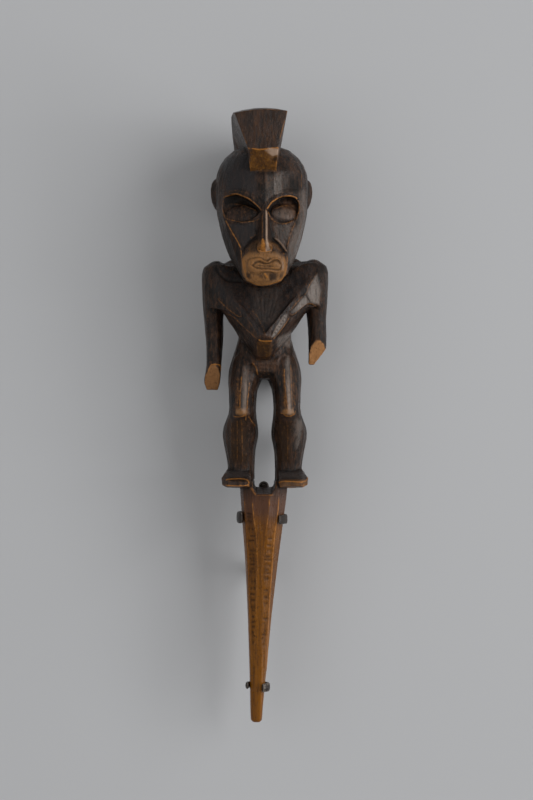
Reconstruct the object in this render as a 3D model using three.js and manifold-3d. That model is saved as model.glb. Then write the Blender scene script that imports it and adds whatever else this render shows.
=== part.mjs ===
// A carved wooden deity figure, cut in one piece with the tapering stake that it stands on,
// with the metal bracket that grips the stake. It lies on its back, as it would on a table.
//
// Millimetres. The carving is worked standing up: X to the right of someone who faces it,
// Y to its back, Z from the tip of the stake to the top of the crest. The last lines lay it down.

import * as THREE from "three";
import { ConvexGeometry } from "three/addons/geometries/ConvexGeometry.js";
import { LoftGeometry } from "three/addons/geometries/LoftGeometry.js";
import { mergeVertices } from "three/addons/utils/BufferGeometryUtils.js";
import Module from "manifold-3d";

const wasm = await Module();
wasm.setup();

// Driving heights along the carving
const LEDGE = 155.6; // front edge of the stake's top, between the feet
const SOLE = 160;
const ANKLE = 175;
const CALF = 195;
const KNEE = 212;
const CROTCH = 234;
const HIP = 243;
const WAIST = 265;
const ARMPIT = 277;
const SHOULDER = 304;
const CHIN = 296;
const MOUTH = 310;
const NOSE_TIP = 320;
const EYE = 348;
const BROW = 357;
const CROWN = 394;

// Driving depths and turns
const REST = 36.5; // the plane at its back that it lies on
const HEAD_TURN = 3.2; // degrees, the face to the viewer's right
const HEAD_MIDDLE = -2.7; // the head stands a little to the left of the body
const CREST_LEAN = 0.04; // sideways per height, to the viewer's left
const CREST_ROLL = 0.045; // height per width, its left corner lower
const BODY_MIDDLE = -0.2;
const LEFT_SHOULDER_DROP = -1.1;
const GAP = 0.35; // clearance between the bracket and the wood

// Small helpers: points, solids, and the three ways that the wood is shaped

const at = (x, y, z) => new THREE.Vector3(x, y, z);
const radians = THREE.MathUtils.degToRad;
const mirrored = (points) => points.flatMap((p) => [p, at(-p.x, p.y, p.z)]);

function solid(geometry) {
  const bare = new THREE.BufferGeometry();
  bare.setAttribute("position", geometry.getAttribute("position"));
  bare.setIndex(geometry.getIndex());
  const merged = mergeVertices(bare, 1e-4);
  return new wasm.Manifold(
    new wasm.Mesh({
      numProp: 3,
      vertProperties: merged.attributes.position.array,
      triVerts: new Uint32Array(merged.index.array),
    }),
  );
}

const joined = (solids) => solids.reduce((whole, piece) => whole.add(piece));

// A block with flat facets, from the points of its corners.
const block = (points) => solid(new ConvexGeometry(points));

// An egg: a sphere stretched to its three half sizes, turned about Y, then moved into place.
function egg(middle, halves, tilt = 0, detail = 20) {
  const shape = new THREE.SphereGeometry(1, detail, Math.round(detail * 0.6));
  shape.scale(halves.x, halves.y, halves.z).rotateY(radians(tilt));
  return solid(shape.translate(middle.x, middle.y, middle.z));
}

const power = (value, exponent) => Math.sign(value) * Math.abs(value) ** exponent;

// A rounded limb or trunk. Each level is [height, middle, half width, front, back], and the
// levels between come from a smooth curve. Square 2 is an ellipse, and more is boxier.
function trunk(levels, { sides, rise, square = 2 }) {
  const heights = levels.map((level) => level[0]);
  const sizes = levels.flatMap((level) => level.slice(1));
  const curve = new THREE.CubicInterpolant(heights, sizes, 4);
  const first = heights[0];
  const last = heights[heights.length - 1];
  const steps = Math.max(2, Math.round((last - first) / rise));
  const rings = [];
  for (let i = 0; i <= steps; i += 1) {
    const z = first + ((last - first) * i) / steps;
    const [middle, half, front, back] = curve.evaluate(z);
    const ring = [];
    for (let k = 0; k < sides; k += 1) {
      const angle = (2 * Math.PI * (k + 0.5)) / sides;
      const x = middle + half * power(Math.cos(angle), 2 / square);
      const y = (front + back) / 2 + ((back - front) / 2) * power(Math.sin(angle), 2 / square);
      ring.push(at(x, y, z));
    }
    rings.push(ring);
  }
  return solid(new LoftGeometry(rings, { capStart: true, capEnd: true }));
}

// Cuts off all that lies beyond a plane through three points, on the side away from the keep point.
function shaved(piece, [a, b, c], keep) {
  const reach = 500;
  const plane = new THREE.Plane().setFromCoplanarPoints(a, b, c);
  if (plane.distanceToPoint(keep) > 0) plane.negate();
  const cutter = new THREE.BoxGeometry(2 * reach, 2 * reach, reach).translate(0, 0, reach / 2);
  const turn = new THREE.Quaternion().setFromUnitVectors(at(0, 0, 1), plane.normal);
  cutter.applyQuaternion(turn).translate(a.x, a.y, a.z);
  return piece.subtract(solid(cutter));
}

// The stake: a tapering bar with three front facets, two sides and a plain back. Each level is
// [height, left side, four ridges between the front facets from left to right, right side].
const STAKE_LEVELS = [
  [0, -8.6, -7.9, -7.2, -4.6, -3.8, -3.2],
  [1.6, -9.9, -9.3, -8.0, -4.0, -2.7, -2.0],
  [8, -10.1, -9.6, -8.2, -3.4, -2.0, -1.6],
  [31, -10.6, -9.9, -7.6, -2.6, -0.6, 0.6],
  [74, -11.9, -10.9, -6.4, -1.9, 2.3, 4.7],
  [108, -13.5, -12.1, -5.3, 0.4, 5.5, 8.7],
  [150, -16.6, -14.5, -8.6, 3.0, 9.3, 14.3],
  [165, -17.6, -15.4, -9.8, 4.2, 10.6, 16.0],
];
const STAKE_DEPTH = 0.88; // of its width

function stakeRing([height, left, ...rest]) {
  const right = rest[rest.length - 1];
  const middle = (left + right) / 2;
  const half = (right - left) / 2;
  const deep = half * STAKE_DEPTH;
  const frontDepths = [0.55, 0.93, 1.0, 0.72];
  const front = frontDepths.map((depth, i) => at(rest[i], -depth * deep, height));
  const back = [
    [1.0, 0.2],
    [0.84, 0.84],
    [0.4, 1.0],
    [-0.4, 1.0],
    [-0.84, 0.84],
    [-1.0, 0.2],
  ].map(([x, y]) => at(middle + x * half, y * deep, height));
  return [...front, ...back];
}

const STAKE_TABLE = new THREE.LinearInterpolant(
  STAKE_LEVELS.map((level) => level[0]),
  STAKE_LEVELS.flatMap((level) => level.slice(1)),
  6,
);
const stakeSection = (height) => stakeRing([height, ...STAKE_TABLE.evaluate(height)]);

function stake() {
  const rings = [0, 1.6, 8, 20, 31, 45, 60, 74, 86, 97, 108, 118, 129, 140, 150, 158, 165];
  return solid(new LoftGeometry(rings.map(stakeSection), { capStart: true, capEnd: true }));
}

// The ledge slopes down to the front between the feet.
function ledgeCut() {
  const rise = 5.7; // over the depth of the stake
  const deep = 16;
  const left = -6.3;
  const right = 5.2;
  const flare = 2.6; // wider at the front
  const corner = (x, y, z) => at(x, y * deep, LEDGE + z);
  return block([
    corner(left + 1, -1.8, -1.8),
    corner(right - 1, -1.8, -1.8),
    corner(left, 1.8, rise + 1.4),
    corner(right, 1.8, rise + 1.4),
    corner(left - flare, -1.8, 4),
    corner(right + flare, -1.8, 5),
    corner(left, 1.8, rise + 6),
    corner(right, 1.8, rise + 6),
    corner(left - flare, -1.8, 10),
    corner(right + flare, -1.8, 10),
  ]);
}

// Legs: the thigh comes forward to the knee and the shin goes back to the ankle
const LEG_LEVELS = [
  [SOLE + 0.5, 15.9, 9.4, -13, 11],
  [ANKLE - 8, 16.0, 9.4, -13.5, 12],
  [ANKLE, 16.1, 9.5, -13.5, 12.5],
  [CALF - 9, 16.7, 10.7, -16.5, 19],
  [CALF, 16.6, 12.4, -19, 24],
  [CALF + 5, 16.5, 12.4, -21, 23],
  [KNEE - 6, 15.9, 10.9, -24.5, 17],
  [KNEE, 15.1, 9.5, -28.5, 10],
  [KNEE + 8, 15.0, 9.6, -26.5, 12],
  [CROTCH - 6, 14.6, 10.3, -24.5, 18],
  [CROTCH + 1, 13.3, 12.1, -23, 26],
  [HIP + 3, 12, 11.4, -20.5, 26],
  [HIP + 10, 11, 9, -17, 20],
  [HIP + 18, 10, 5, -9, 12],
];

function leg(side) {
  const levels = LEG_LEVELS.map(([z, x, half, front, back]) => [z, side * x, half, front, back]);
  return trunk(levels, { sides: 14, rise: 4.2, square: 2.4 });
}

// A foot: a flat block with a sloping top and a bevelled toe end
function foot(side) {
  const outer = 29.4;
  const inner = 9.5;
  const toe = -31;
  const heel = 17;
  const instep = ANKLE - 2.5;
  const toeTop = SOLE + 5.8;
  const points = [
    at(inner + 1, toe + 2.5, SOLE + 1.8),
    at(inner, toe + 4, toeTop - 1),
    at(inner + 2.5, toe, SOLE + 2.4),
    at(inner + 3.5, toe + 0.5, toeTop - 0.3),
    at(outer - 4.5, toe, SOLE + 2.4),
    at(outer - 5, toe + 0.5, toeTop + 0.2),
    at(outer - 4, toe + 4, SOLE + 1.2),
    at(outer - 0.4, toe + 6, SOLE + 3),
    at(outer, toe + 9, SOLE + 7.5),
    at(outer - 3.5, toe + 16, instep - 1),
    at(outer - 4, -8, instep + 1),
    at(inner, -8, instep + 1),
    at(inner, toe + 14, instep - 3),
    at(inner, heel, SOLE),
    at(inner, heel, SOLE + 9),
    at(outer - 5, heel - 2, SOLE),
    at(outer - 6, heel, SOLE + 9),
    at(outer - 1.5, heel - 9, SOLE + 4),
    at(outer - 4, 4, instep),
    at(inner, 4, instep),
  ];
  return block(points.map((p) => at(side * p.x, p.y, p.z)));
}

// Hips, buttocks and waist
const HIP_LEVELS = [
  [CROTCH + 0.5, 0, 14, -17, 20],
  [CROTCH + 4, 0, 23.8, -21, 29],
  [HIP, 0, 24.0, -21.5, 31],
  [HIP + 7, 0, 22.0, -21, 28],
  [WAIST - 8, 0, 19.6, -20, 22],
  [WAIST, 0, 18.0, -18.5, 18],
  [WAIST + 7, 0, 19.9, -17, 18],
  [ARMPIT, 0, 25.5, -15, 19],
  [ARMPIT + 8, 0, 29, -12, 20],
  [SHOULDER, 0, 27, -6, 19],
  [SHOULDER + 9, 0, 17, -2, 13],
];

function hips() {
  const rounded = trunk(HIP_LEVELS, { sides: 22, rise: 4.6, square: 2.7 });
  const buttock = (side) => egg(at(side * 12, 17, HIP - 2), at(11.5, 20.5, 14.5), 0, 16);
  const furrow = egg(at(0, 40, HIP - 4), at(2.2, 12, 20), 0, 14);
  const loin = block(mirrored([
    at(11, -19.5, HIP + 9),
    at(8.5, -22, HIP + 1.5),
    at(4.5, -18.5, CROTCH + 2.5),
    at(3, -14, CROTCH),
    at(10, 0, HIP + 9),
    at(5, 0, CROTCH),
  ]));
  return joined([rounded, buttock(-1), buttock(1), loin]).subtract(furrow);
}

// Chest: a shield with a bevelled rim, whose edges run down to a blunt tip over the belly
const TIP = { left: -6.4, right: 4.4, depth: -39.5, height: WAIST - 3.5, drop: 12.5 };
const RIM_LEFT = [at(-12.6, -34, 281), at(-17.6, -29, 277.5), at(-24.8, -24.5, 284), at(-31, -18, 288)];
const RIM_RIGHT = [at(11.8, -34, 281), at(15.8, -30, 278), at(22.8, -25, 281), at(31, -20, 286)];

// The muscle that joins the chest to the upper arm, with a ledge below it over the armpit
function pectoral(side, drop) {
  const points = [
    at(14, -31, 281.5),
    at(20, -27.5, 279.5),
    at(25.5, -23.5, 283.5),
    at(31, -19, 286),
    at(36, -15, 285.5),
    at(39.5, -11, 284),
    at(29.5, -20, 299.5),
    at(38.8, -13, 299),
    at(43, -3, 292),
    at(42.5, -3.5, 304),
    at(38.5, -8, SHOULDER + 7),
    at(34, -9, SHOULDER + 10.5),
    at(26, -10.5, SHOULDER + 9.5),
    at(18, -14, SHOULDER + 4),
    at(18, -8, 292),
    at(38, 6, 292),
    at(36, 6, SHOULDER + 6),
  ];
  return block(points.map((p) => at(side * p.x, p.y, p.z + drop)));
}

function chest() {
  const tip = [
    at(TIP.left, TIP.depth + 1.5, TIP.height),
    at(TIP.right, TIP.depth + 1.5, TIP.height),
    at(-0.2, TIP.depth, TIP.height + 1.5),
    at(TIP.left + 1.8, TIP.depth + 12.5, TIP.height - TIP.drop),
    at(TIP.right - 1.8, TIP.depth + 12.5, TIP.height - TIP.drop),
    at(TIP.left - 4, -17, TIP.height - 2),
    at(TIP.right + 4, -17, TIP.height - 2),
    at(TIP.left, -17, TIP.height - TIP.drop - 3),
    at(TIP.right, -17, TIP.height - TIP.drop - 3),
  ];
  const top = mirrored([
    at(38, -14, SHOULDER - 4),
    at(36, -9, SHOULDER + 8),
    at(14, -12, SHOULDER + 6),
    at(18, -14, ARMPIT - 8),
    at(28, 6, SHOULDER + 8),
    at(28, 6, ARMPIT + 8),
    at(34, -12, ARMPIT + 10),
  ]);
  const shield = joined([
    block([...tip, ...RIM_LEFT, ...RIM_RIGHT, ...top]),
    pectoral(-1, LEFT_SHOULDER_DROP),
    pectoral(1, 0),
  ]);
  const valley = block([
    at(-0.2, TIP.depth + 1.2, TIP.height + 3),
    at(-0.2, -16, SHOULDER + 2),
    ...mirrored([
      at(12, -33.4, 283.4),
      at(26.6, -22, SHOULDER - 6.6),
      at(27, -60, SHOULDER - 6),
      at(2, -60, TIP.height + 3),
      at(22, -10, SHOULDER + 14),
      at(22, -60, SHOULDER + 14),
    ]),
  ]);
  return shield.subtract(valley);
}

// Shoulders run across behind the chest, and the shoulder blades stand out a little
function shoulders() {
  const across = [
    [-41.5, 2, 302.8, 5, 7],
    [-36, 2, 302, 12, 12],
    [-27, 3, 301.3, 15, 12.8],
    [-12, 4, 300.5, 15, 13],
    [12, 4, 301, 15, 13],
    [27, 3, 302.5, 15, 13.2],
    [36, 2, 303.2, 12, 12.4],
    [41.5, 2, 303.5, 5, 7],
  ];
  const sides = 14;
  const rings = across.map(([x, y, z, deep, high]) => {
    const ring = [];
    for (let k = 0; k < sides; k += 1) {
      const angle = (2 * Math.PI * k) / sides;
      ring.push(at(x, y + deep * Math.cos(angle), z + high * Math.sin(angle)));
    }
    return ring;
  });
  const yoke = solid(new LoftGeometry(rings, { capStart: true, capEnd: true }));
  const blade = (side) => egg(at(side * 18, 8.5, SHOULDER - 6), at(14, 12, 20), side * 12, 16);
  return joined([yoke, blade(-1), blade(1)]);
}

// Arms hang free, and each ends in a slanting broken face where the hand is lost
const UPPER_ARM = [
  [SHOULDER + 12.4, 33, 2.6, -5, 7],
  [SHOULDER + 10.4, 33.8, 6.2, -9, 12],
  [SHOULDER + 7, 34.4, 8.4, -11, 16],
  [SHOULDER, 34.9, 8.7, -13.5, 18],
  [SHOULDER - 8, 35.1, 8.2, -14.5, 17],
  [ARMPIT + 8, 35.2, 7.6, -13, 14.5],
  [ARMPIT, 35.2, 6.9, -10.5, 12],
];
const LOWER_ARM_LEFT = [
  [ARMPIT - 12, 34.6, 6.4, -10.5, 9],
  [ARMPIT - 24, 34.6, 5.6, -12, 5.5],
  [ARMPIT - 34, 35.0, 5.3, -14, 3],
  [ARMPIT - 43, 36.0, 5.9, -16, 1],
  [ARMPIT - 49, 36.0, 5.0, -16, 0],
];
const LOWER_ARM_RIGHT = [
  [ARMPIT - 12, 35.7, 6.5, -10.5, 9],
  [ARMPIT - 24, 35.6, 6.2, -12.5, 5.5],
  [ARMPIT - 33, 34.5, 5.2, -14, 2],
];

function arm(side, lowerArm) {
  const levels = [...UPPER_ARM, ...lowerArm]
    .map(([z, x, half, front, back]) => [z, side * x, half, front, back])
    .reverse();
  return trunk(levels, { sides: 12, rise: 4.4, square: 2.3 });
}

function leftArm() {
  const broken = [at(-40, -14.2, 244.5), at(-30, -14.2, 244.5), at(-36, -3.5, 227)];
  const lowered = arm(-1, LOWER_ARM_LEFT).translate([0, 0, LEFT_SHOULDER_DROP]);
  return shaved(lowered, broken, at(-35, 0, ARMPIT));
}

function rightArm() {
  const broken = [at(41, -11.4, 262), at(31, -11.4, 259.5), at(35, -3, 244)];
  const corner = [at(41.2, -10, 254.5), at(41.2, 0, 254.5), at(32.4, -10, 243)];
  const above = at(35, 0, ARMPIT);
  return shaved(shaved(arm(1, LOWER_ARM_RIGHT), broken, above), corner, above);
}

// Head, in its own frame with the face at X 0
const HEAD_LEVELS = [
  [CHIN, 0, 3.5, -40, -34],
  [CHIN + 2, 0, 8, -42, -30],
  [CHIN + 6, 0, 13.2, -43, -20],
  [CHIN + 12, 0, 17.8, -43.5, -9],
  [CHIN + 19, 0, 21.8, -43.5, 0],
  [CHIN + 28, 0, 25.2, -42.5, 8],
  [CHIN + 38, 0, 28.1, -41.5, 15],
  [EYE, 0, 30.9, -41, 20],
  [BROW, 0, 31.4, -41, 22],
  [BROW + 10, 0, 31.6, -39.5, 22.5],
  [BROW + 18, 0, 30.4, -37, 21.5],
  [CROWN - 12, 0, 27, -33, 18],
  [CROWN - 6, 0, 21.5, -28, 12],
  [CROWN - 2, 0, 14, -22, 5],
  [CROWN + 0.8, 0, 4, -13, -5],
];

// The crest is a wedge that runs from the forehead over the head to the nape. Each rib is
// [base depth, base height, base half width, rim depth, rim height, rim half width, crowning].
const CREST_RIBS = [
  [-35, 370.5, 8.6, -47, 387.3, 9.8, 0.4],
  [-26, 384, 9, -42.5, 412, 17.7, 2.2],
  [-16, 387, 10, -27, 414.2, 18.2, 2.6],
  [-4, 388, 10, -5, 414.2, 18.6, 2.6],
  [6, 384, 10, 16, 405, 17.4, 2.6],
  [12, 374, 9.5, 30, 386, 15, 2.2],
  [16, 360, 8.5, 35.2, 364, 12, 1.8],
  [14, 346, 6, 29, 342, 8.5, 1.2],
];

function crest() {
  const across = [-1, -0.6, -0.2, 0.2, 0.6, 1];
  const rings = CREST_RIBS.map(([by, bz, bh, ry, rz, rh, crown]) => {
    const out = at(0, ry - by, rz - bz).normalize();
    const rim = across.map((share) =>
      at(share * rh, ry, rz).addScaledVector(out, crown * (1 - share * share)),
    );
    const ring = [...rim, at(bh, by, bz), at(-bh, by, bz)];
    return ring.map(({ x, y, z }) => {
      const lean = CREST_LEAN * (z - CREST_RIBS[0][1]);
      return at(x - 0.6 - lean, y, z + CREST_ROLL * x);
    });
  });
  return solid(new LoftGeometry(rings, { capStart: true, capEnd: true }));
}

// The front of the face is a flat plate, whose edges run from the brow down the cheeks and the jaw.
function facePlate() {
  return block([
    at(0, -41.5, BROW - 4),
    at(0, -42.5, EYE - 8),
    at(0, -43.5, NOSE_TIP),
    at(0, -42, CHIN + 4),
    ...mirrored([
      at(13, -39.6, BROW - 2),
      at(25.5, -33.5, BROW - 3),
      at(27.4, -33.5, EYE - 5),
      at(16.2, -43.6, NOSE_TIP),
      at(15.2, -43, CHIN + 8),
      at(10.5, -42, CHIN + 4),
      at(29.6, -20, EYE),
      at(28.5, -18, EYE - 6),
      at(23.4, -22, NOSE_TIP),
      at(16.5, -30, CHIN + 9),
    ]),
  ]);
}

function nose() {
  const bridge = EYE + 4.5;
  return block([
    at(-1.2, -41.4, bridge),
    at(1.2, -41.4, bridge),
    at(-1.4, -43.6, EYE - 3),
    at(1.4, -43.6, EYE - 3),
    at(-2.4, -38, bridge),
    at(2.4, -38, bridge),
    at(-1.8, -52.5, NOSE_TIP + 4),
    at(1.8, -52.5, NOSE_TIP + 4),
    at(-5.2, -48.5, NOSE_TIP + 1),
    at(5.2, -48.5, NOSE_TIP + 1),
    at(-4.8, -41, NOSE_TIP + 8),
    at(4.8, -41, NOSE_TIP + 8),
    at(0, -49, NOSE_TIP - 1.5),
    at(0, -42, NOSE_TIP - 2),
  ]);
}

// An eye socket is almond-shaped, with its point at the nose, and deepest under the brow. Each arch
// has the handles of its upper edge: how far along the socket they are, and how high.
const EYE_CORNERS = { left: [-2.3, -27.4], right: [2.3, 23.9] };
const SOCKET = { point: EYE - 2, outer: EYE + 2.5, low: EYE - 9.5 };
const ARCHES = {
  left: [[0.32, BROW - 1], [0.92, BROW + 7.5]],
  right: [[0.2, BROW + 2.2], [0.94, BROW + 2.2]],
};

function socketPrism([start, end], [[rise, inner], [fall, outer]]) {
  const wide = end - start;
  const bulge = 4 / 3; // a cubic arch stands three quarters as high as its handles
  const lower = SOCKET.outer - (SOCKET.outer - SOCKET.low) * bulge;
  const outline = new THREE.Shape();
  outline.moveTo(start, SOCKET.point);
  outline.bezierCurveTo(start + rise * wide, inner, start + fall * wide, outer, end, SOCKET.outer);
  outline.bezierCurveTo(end, lower, start + 0.24 * wide, lower + 2, start, SOCKET.point);
  const reach = 30;
  const prism = new THREE.ExtrudeGeometry(outline, {
    depth: reach,
    bevelEnabled: false,
    curveSegments: 9,
  });
  return solid(prism.rotateX(Math.PI / 2).translate(0, -30, 0));
}

// The floor of a socket is a plane, level with the cheek below and deep under the brow. The eye
// is a low swelling of that floor.
const SOCKET_FLOORS = {
  left: [at(-5, -41.2, 340), at(-26, -33.2, 343), at(-16, -27.8, 357)],
  right: [at(4.4, -41.2, 340), at(22.6, -34.4, 343), at(13.5, -30.5, 357)],
};
const FRONT = at(0, -100, EYE);

function eyeSocket(name) {
  const [inner, outer] = EYE_CORNERS[name];
  const [low, side, high] = SOCKET_FLOORS[name];
  const floor = new THREE.Plane().setFromCoplanarPoints(low, side, high);
  if (floor.distanceToPoint(FRONT) < 0) floor.negate();
  const half = Math.abs(outer - inner) / 2;
  const shape = new THREE.SphereGeometry(1, 20, 12).scale(half * 0.86, 2.6, 6.6);
  const turn = new THREE.Quaternion().setFromUnitVectors(at(0, -1, 0), floor.normal);
  const middle = floor.projectPoint(at((inner + outer) / 2, -36, EYE - 3), at(0, 0, 0));
  const eye = solid(shape.applyQuaternion(turn).translate(middle.x, middle.y, middle.z));
  const prism = socketPrism(EYE_CORNERS[name], ARCHES[name]);
  return shaved(prism, SOCKET_FLOORS[name], FRONT).subtract(eye);
}

const MUZZLE_LEVELS = [
  [CHIN + 0.3, -0.6, 6, -43, -30],
  [CHIN + 2, -0.6, 10.5, -46, -26],
  [CHIN + 6, -0.6, 14.2, -48.6, -22],
  [MOUTH - 2, -0.6, 15.9, -50, -20],
  [MOUTH + 4, -0.6, 16.2, -50, -20],
  [NOSE_TIP, -0.6, 15.2, -48.6, -20],
  [NOSE_TIP + 4.5, -0.6, 12, -46.6, -20],
  [NOSE_TIP + 7.5, -0.6, 8, -44.4, -20],
];

function muzzle() {
  const snout = trunk(MUZZLE_LEVELS, { sides: 24, rise: 3, square: 3 });
  const lips = egg(at(-0.2, -47.6, MOUTH - 0.8), at(12.2, 3.6, 5), 0, 20);
  const mouth = egg(at(-0.2, -52.6, MOUTH - 0.8), at(10.2, 2.6, 3.3), 0, 18);
  return joined([snout, lips]).subtract(mouth);
}

// An ear is a flat lug, whose front slopes back from the head to its rim.
function ear(side) {
  const lug = egg(at(side * 30.2, -5, EYE + 11.5), at(4.6, 6, 11.4), side * 7, 14);
  const slope = [at(side * 30, -10.4, EYE), at(side * 30, -10.4, EYE + 20), at(side * 35, -5.5, EYE + 10)];
  return shaved(lug, slope, at(side * 28, 0, EYE + 10));
}

function head() {
  const skull = trunk(HEAD_LEVELS, { sides: 26, rise: 5.2, square: 2.2 }).add(facePlate());
  const face = joined([skull, muzzle(), nose()]);
  const sockets = joined([eyeSocket("left"), eyeSocket("right")]);
  const whole = joined([face.subtract(sockets.subtract(nose())), ear(-1), ear(1), crest()]);
  return whole.rotate([0, 0, HEAD_TURN]).translate([HEAD_MIDDLE, 0, 0]);
}

function neck() {
  const levels = [
    [SHOULDER - 8, 0, 17, -16, 16],
    [SHOULDER + 6, 0, 15, -18, 14],
    [SHOULDER + 16, 0, 14, -22, 13],
    [SHOULDER + 28, 0, 15, -24, 14],
  ];
  return trunk(levels, { sides: 20, rise: 5 });
}

function figure() {
  const body = joined([hips(), chest(), shoulders(), neck(), leg(-1), leg(1), foot(-1), foot(1)])
    .translate([BODY_MIDDLE, 0, 0]);
  const whole = joined([
    body,
    stake(),
    head(),
    leftArm(),
    rightArm(),
  ]).subtract(ledgeCut());
  return shaved(whole, [at(0, REST, 0), at(1, REST, 0), at(0, REST, 1)], at(0, 0, 0));
}

// The bracket: a spine behind the stake, two pairs of clips that wrap its edges, and a stub
// with a round flange at its back
const SPINE_RADIUS = 3.7;
const SPINE_TOP = 164.2;
const UPPER_CLIP = 140;
const LOWER_CLIP = 25;
const STUB_HEIGHT = 104;
const STUB_RADIUS = 4;
const FLANGE_RADIUS = 9;
const FLANGE_THICK = 2;

// Points around the stake at a height, pushed out from its surface by a clearance, from the
// middle of its back round one side to a share of the way along the front bevel.
function aroundStake(z, side, clearance) {
  const ring = stakeSection(z);
  const count = ring.length;
  const pushed = ring.map((p, i) => {
    const before = ring[(i + count - 1) % count];
    const after = ring[(i + 1) % count];
    const one = at(p.y - before.y, before.x - p.x, 0).normalize();
    const two = at(after.y - p.y, p.x - after.x, 0).normalize();
    const out = one.clone().add(two).normalize();
    return p.clone().addScaledVector(out, clearance / out.dot(one));
  });
  const [f1, f2, f3, f4, s1, b1, b2, b3, b4, s2] = pushed;
  return side > 0 ? [b2, b1, s1, f4, f3] : [b3, b4, s2, f1, f2];
}

const stakeBack = (z) => aroundStake(z, 1, 0)[0].y;
const stakeMiddle = (z) => (aroundStake(z, 1, 0)[0].x + aroundStake(z, -1, 0)[0].x) / 2;

// A bar of even section along a path. The section is [half height, half thickness].
function bar(points, [high, thick], { sides = 10, steps = 10, square = 2 } = {}) {
  const section = new THREE.Shape();
  for (let k = 0; k < sides; k += 1) {
    const angle = (2 * Math.PI * (k + 0.5)) / sides;
    const corner = [
      high * power(Math.cos(angle), 2 / square),
      thick * power(Math.sin(angle), 2 / square),
    ];
    if (k === 0) section.moveTo(...corner);
    else section.lineTo(...corner);
  }
  section.closePath();
  const extrudePath = new THREE.CatmullRomCurve3(points, false, "centripetal");
  return solid(new THREE.ExtrudeGeometry(section, { steps, extrudePath, bevelEnabled: false }));
}

// A clip starts in the spine and bends round one side of the stake to its front bevel.
function clip(z, side, section, reach) {
  const clearance = GAP + 0.25 + section[1];
  const [back, corner, flank, edge, ridge] = aroundStake(z + section[0], side, clearance);
  const start = at(stakeMiddle(z), stakeBack(z) + GAP + SPINE_RADIUS, z);
  const path = [start, corner.lerp(back, 0.25), flank, edge, edge.clone().lerp(ridge, reach)];
  path.forEach((p) => p.setZ(z));
  return path;
}

function spine() {
  const axis = (z) => at(stakeMiddle(z), stakeBack(z) + GAP + SPINE_RADIUS, z);
  const foot = axis(LOWER_CLIP);
  const top = axis(SPINE_TOP - SPINE_RADIUS);
  const knobs = [foot, top].map((p) => egg(p, at(SPINE_RADIUS, SPINE_RADIUS, SPINE_RADIUS), 0, 12));
  return joined([bar([foot, top], [SPINE_RADIUS, SPINE_RADIUS], { steps: 1 }), ...knobs]);
}

// Each clip is [height, side, half height, half thickness, reach along the front bevel].
const CLIPS = [
  [UPPER_CLIP, -1, 4.9, 1.4, 0.1],
  [UPPER_CLIP - 1.2, 1, 4.3, 0.8, 0.1],
  [LOWER_CLIP, -1, 3, 1.3, 0.1],
  [LOWER_CLIP - 1, 1, 3, 1.3, 0.8],
];

function clips() {
  const arms = CLIPS.map(([z, side, high, thick, reach]) =>
    bar(clip(z, side, [high, thick], reach), [high, thick], { sides: 10, steps: 12, square: 2.6 }),
  );
  return joined(arms);
}

function stub() {
  const middle = stakeMiddle(STUB_HEIGHT);
  const start = at(middle, stakeBack(STUB_HEIGHT) + GAP + SPINE_RADIUS, STUB_HEIGHT);
  const end = at(middle, REST, STUB_HEIGHT);
  const flange = end.clone().setY(REST - FLANGE_THICK);
  return joined([
    bar([start, end], [STUB_RADIUS, STUB_RADIUS], { sides: 16, steps: 1 }),
    bar([flange, end], [FLANGE_RADIUS, FLANGE_RADIUS], { sides: 28, steps: 1 }),
  ]);
}

const bracket = () => joined([spine(), clips(), stub()]);

const wood = new THREE.MeshStandardMaterial({ color: 0x3a2a1f, roughness: 0.5, metalness: 0 });
const blackMetal = new THREE.MeshStandardMaterial({ color: 0x1d1a18, roughness: 0.4, metalness: 0.6 });

function mesh(name, shape, material) {
  const made = shape.getMesh();
  const geometry = new THREE.BufferGeometry();
  geometry.setAttribute("position", new THREE.BufferAttribute(made.vertProperties, 3));
  geometry.setIndex(new THREE.BufferAttribute(made.triVerts, 1));
  geometry.computeVertexNormals();
  const piece = new THREE.Mesh(geometry, material);
  piece.name = name;
  return piece;
}

const standing = new THREE.Group();
standing.add(mesh("deity_figure", figure(), wood));
standing.add(mesh("display_bracket", bracket(), blackMetal));
standing.rotation.x = -Math.PI / 2;
const size = new THREE.Box3().setFromObject(standing);
const middle = size.getCenter(at(0, 0, 0));
standing.position.set(-middle.x, -middle.y, REST);

const part = new THREE.Group();
part.add(standing);
export default part;
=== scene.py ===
# A carved wooden deity figure on its long stake, with the metal bracket that holds it.
# It lies on its back: X to the right, Y from the tip of the stake to the crest, Z up.

import bpy
import numpy as np
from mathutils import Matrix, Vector


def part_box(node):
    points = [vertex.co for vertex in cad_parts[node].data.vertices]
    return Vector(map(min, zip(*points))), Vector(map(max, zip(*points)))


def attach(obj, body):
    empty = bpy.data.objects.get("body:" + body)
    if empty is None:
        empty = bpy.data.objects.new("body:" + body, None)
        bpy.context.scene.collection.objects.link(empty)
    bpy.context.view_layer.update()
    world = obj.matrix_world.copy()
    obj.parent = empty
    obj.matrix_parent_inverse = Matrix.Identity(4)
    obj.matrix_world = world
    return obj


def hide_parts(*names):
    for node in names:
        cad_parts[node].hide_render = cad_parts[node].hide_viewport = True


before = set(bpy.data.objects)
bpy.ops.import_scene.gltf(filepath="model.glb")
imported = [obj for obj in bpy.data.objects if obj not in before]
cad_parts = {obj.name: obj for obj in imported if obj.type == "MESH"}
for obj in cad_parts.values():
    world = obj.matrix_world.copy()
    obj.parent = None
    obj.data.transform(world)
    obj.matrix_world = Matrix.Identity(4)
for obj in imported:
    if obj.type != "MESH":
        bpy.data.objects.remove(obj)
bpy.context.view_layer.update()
bpy.ops.object.select_all(action="DESELECT")

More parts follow.
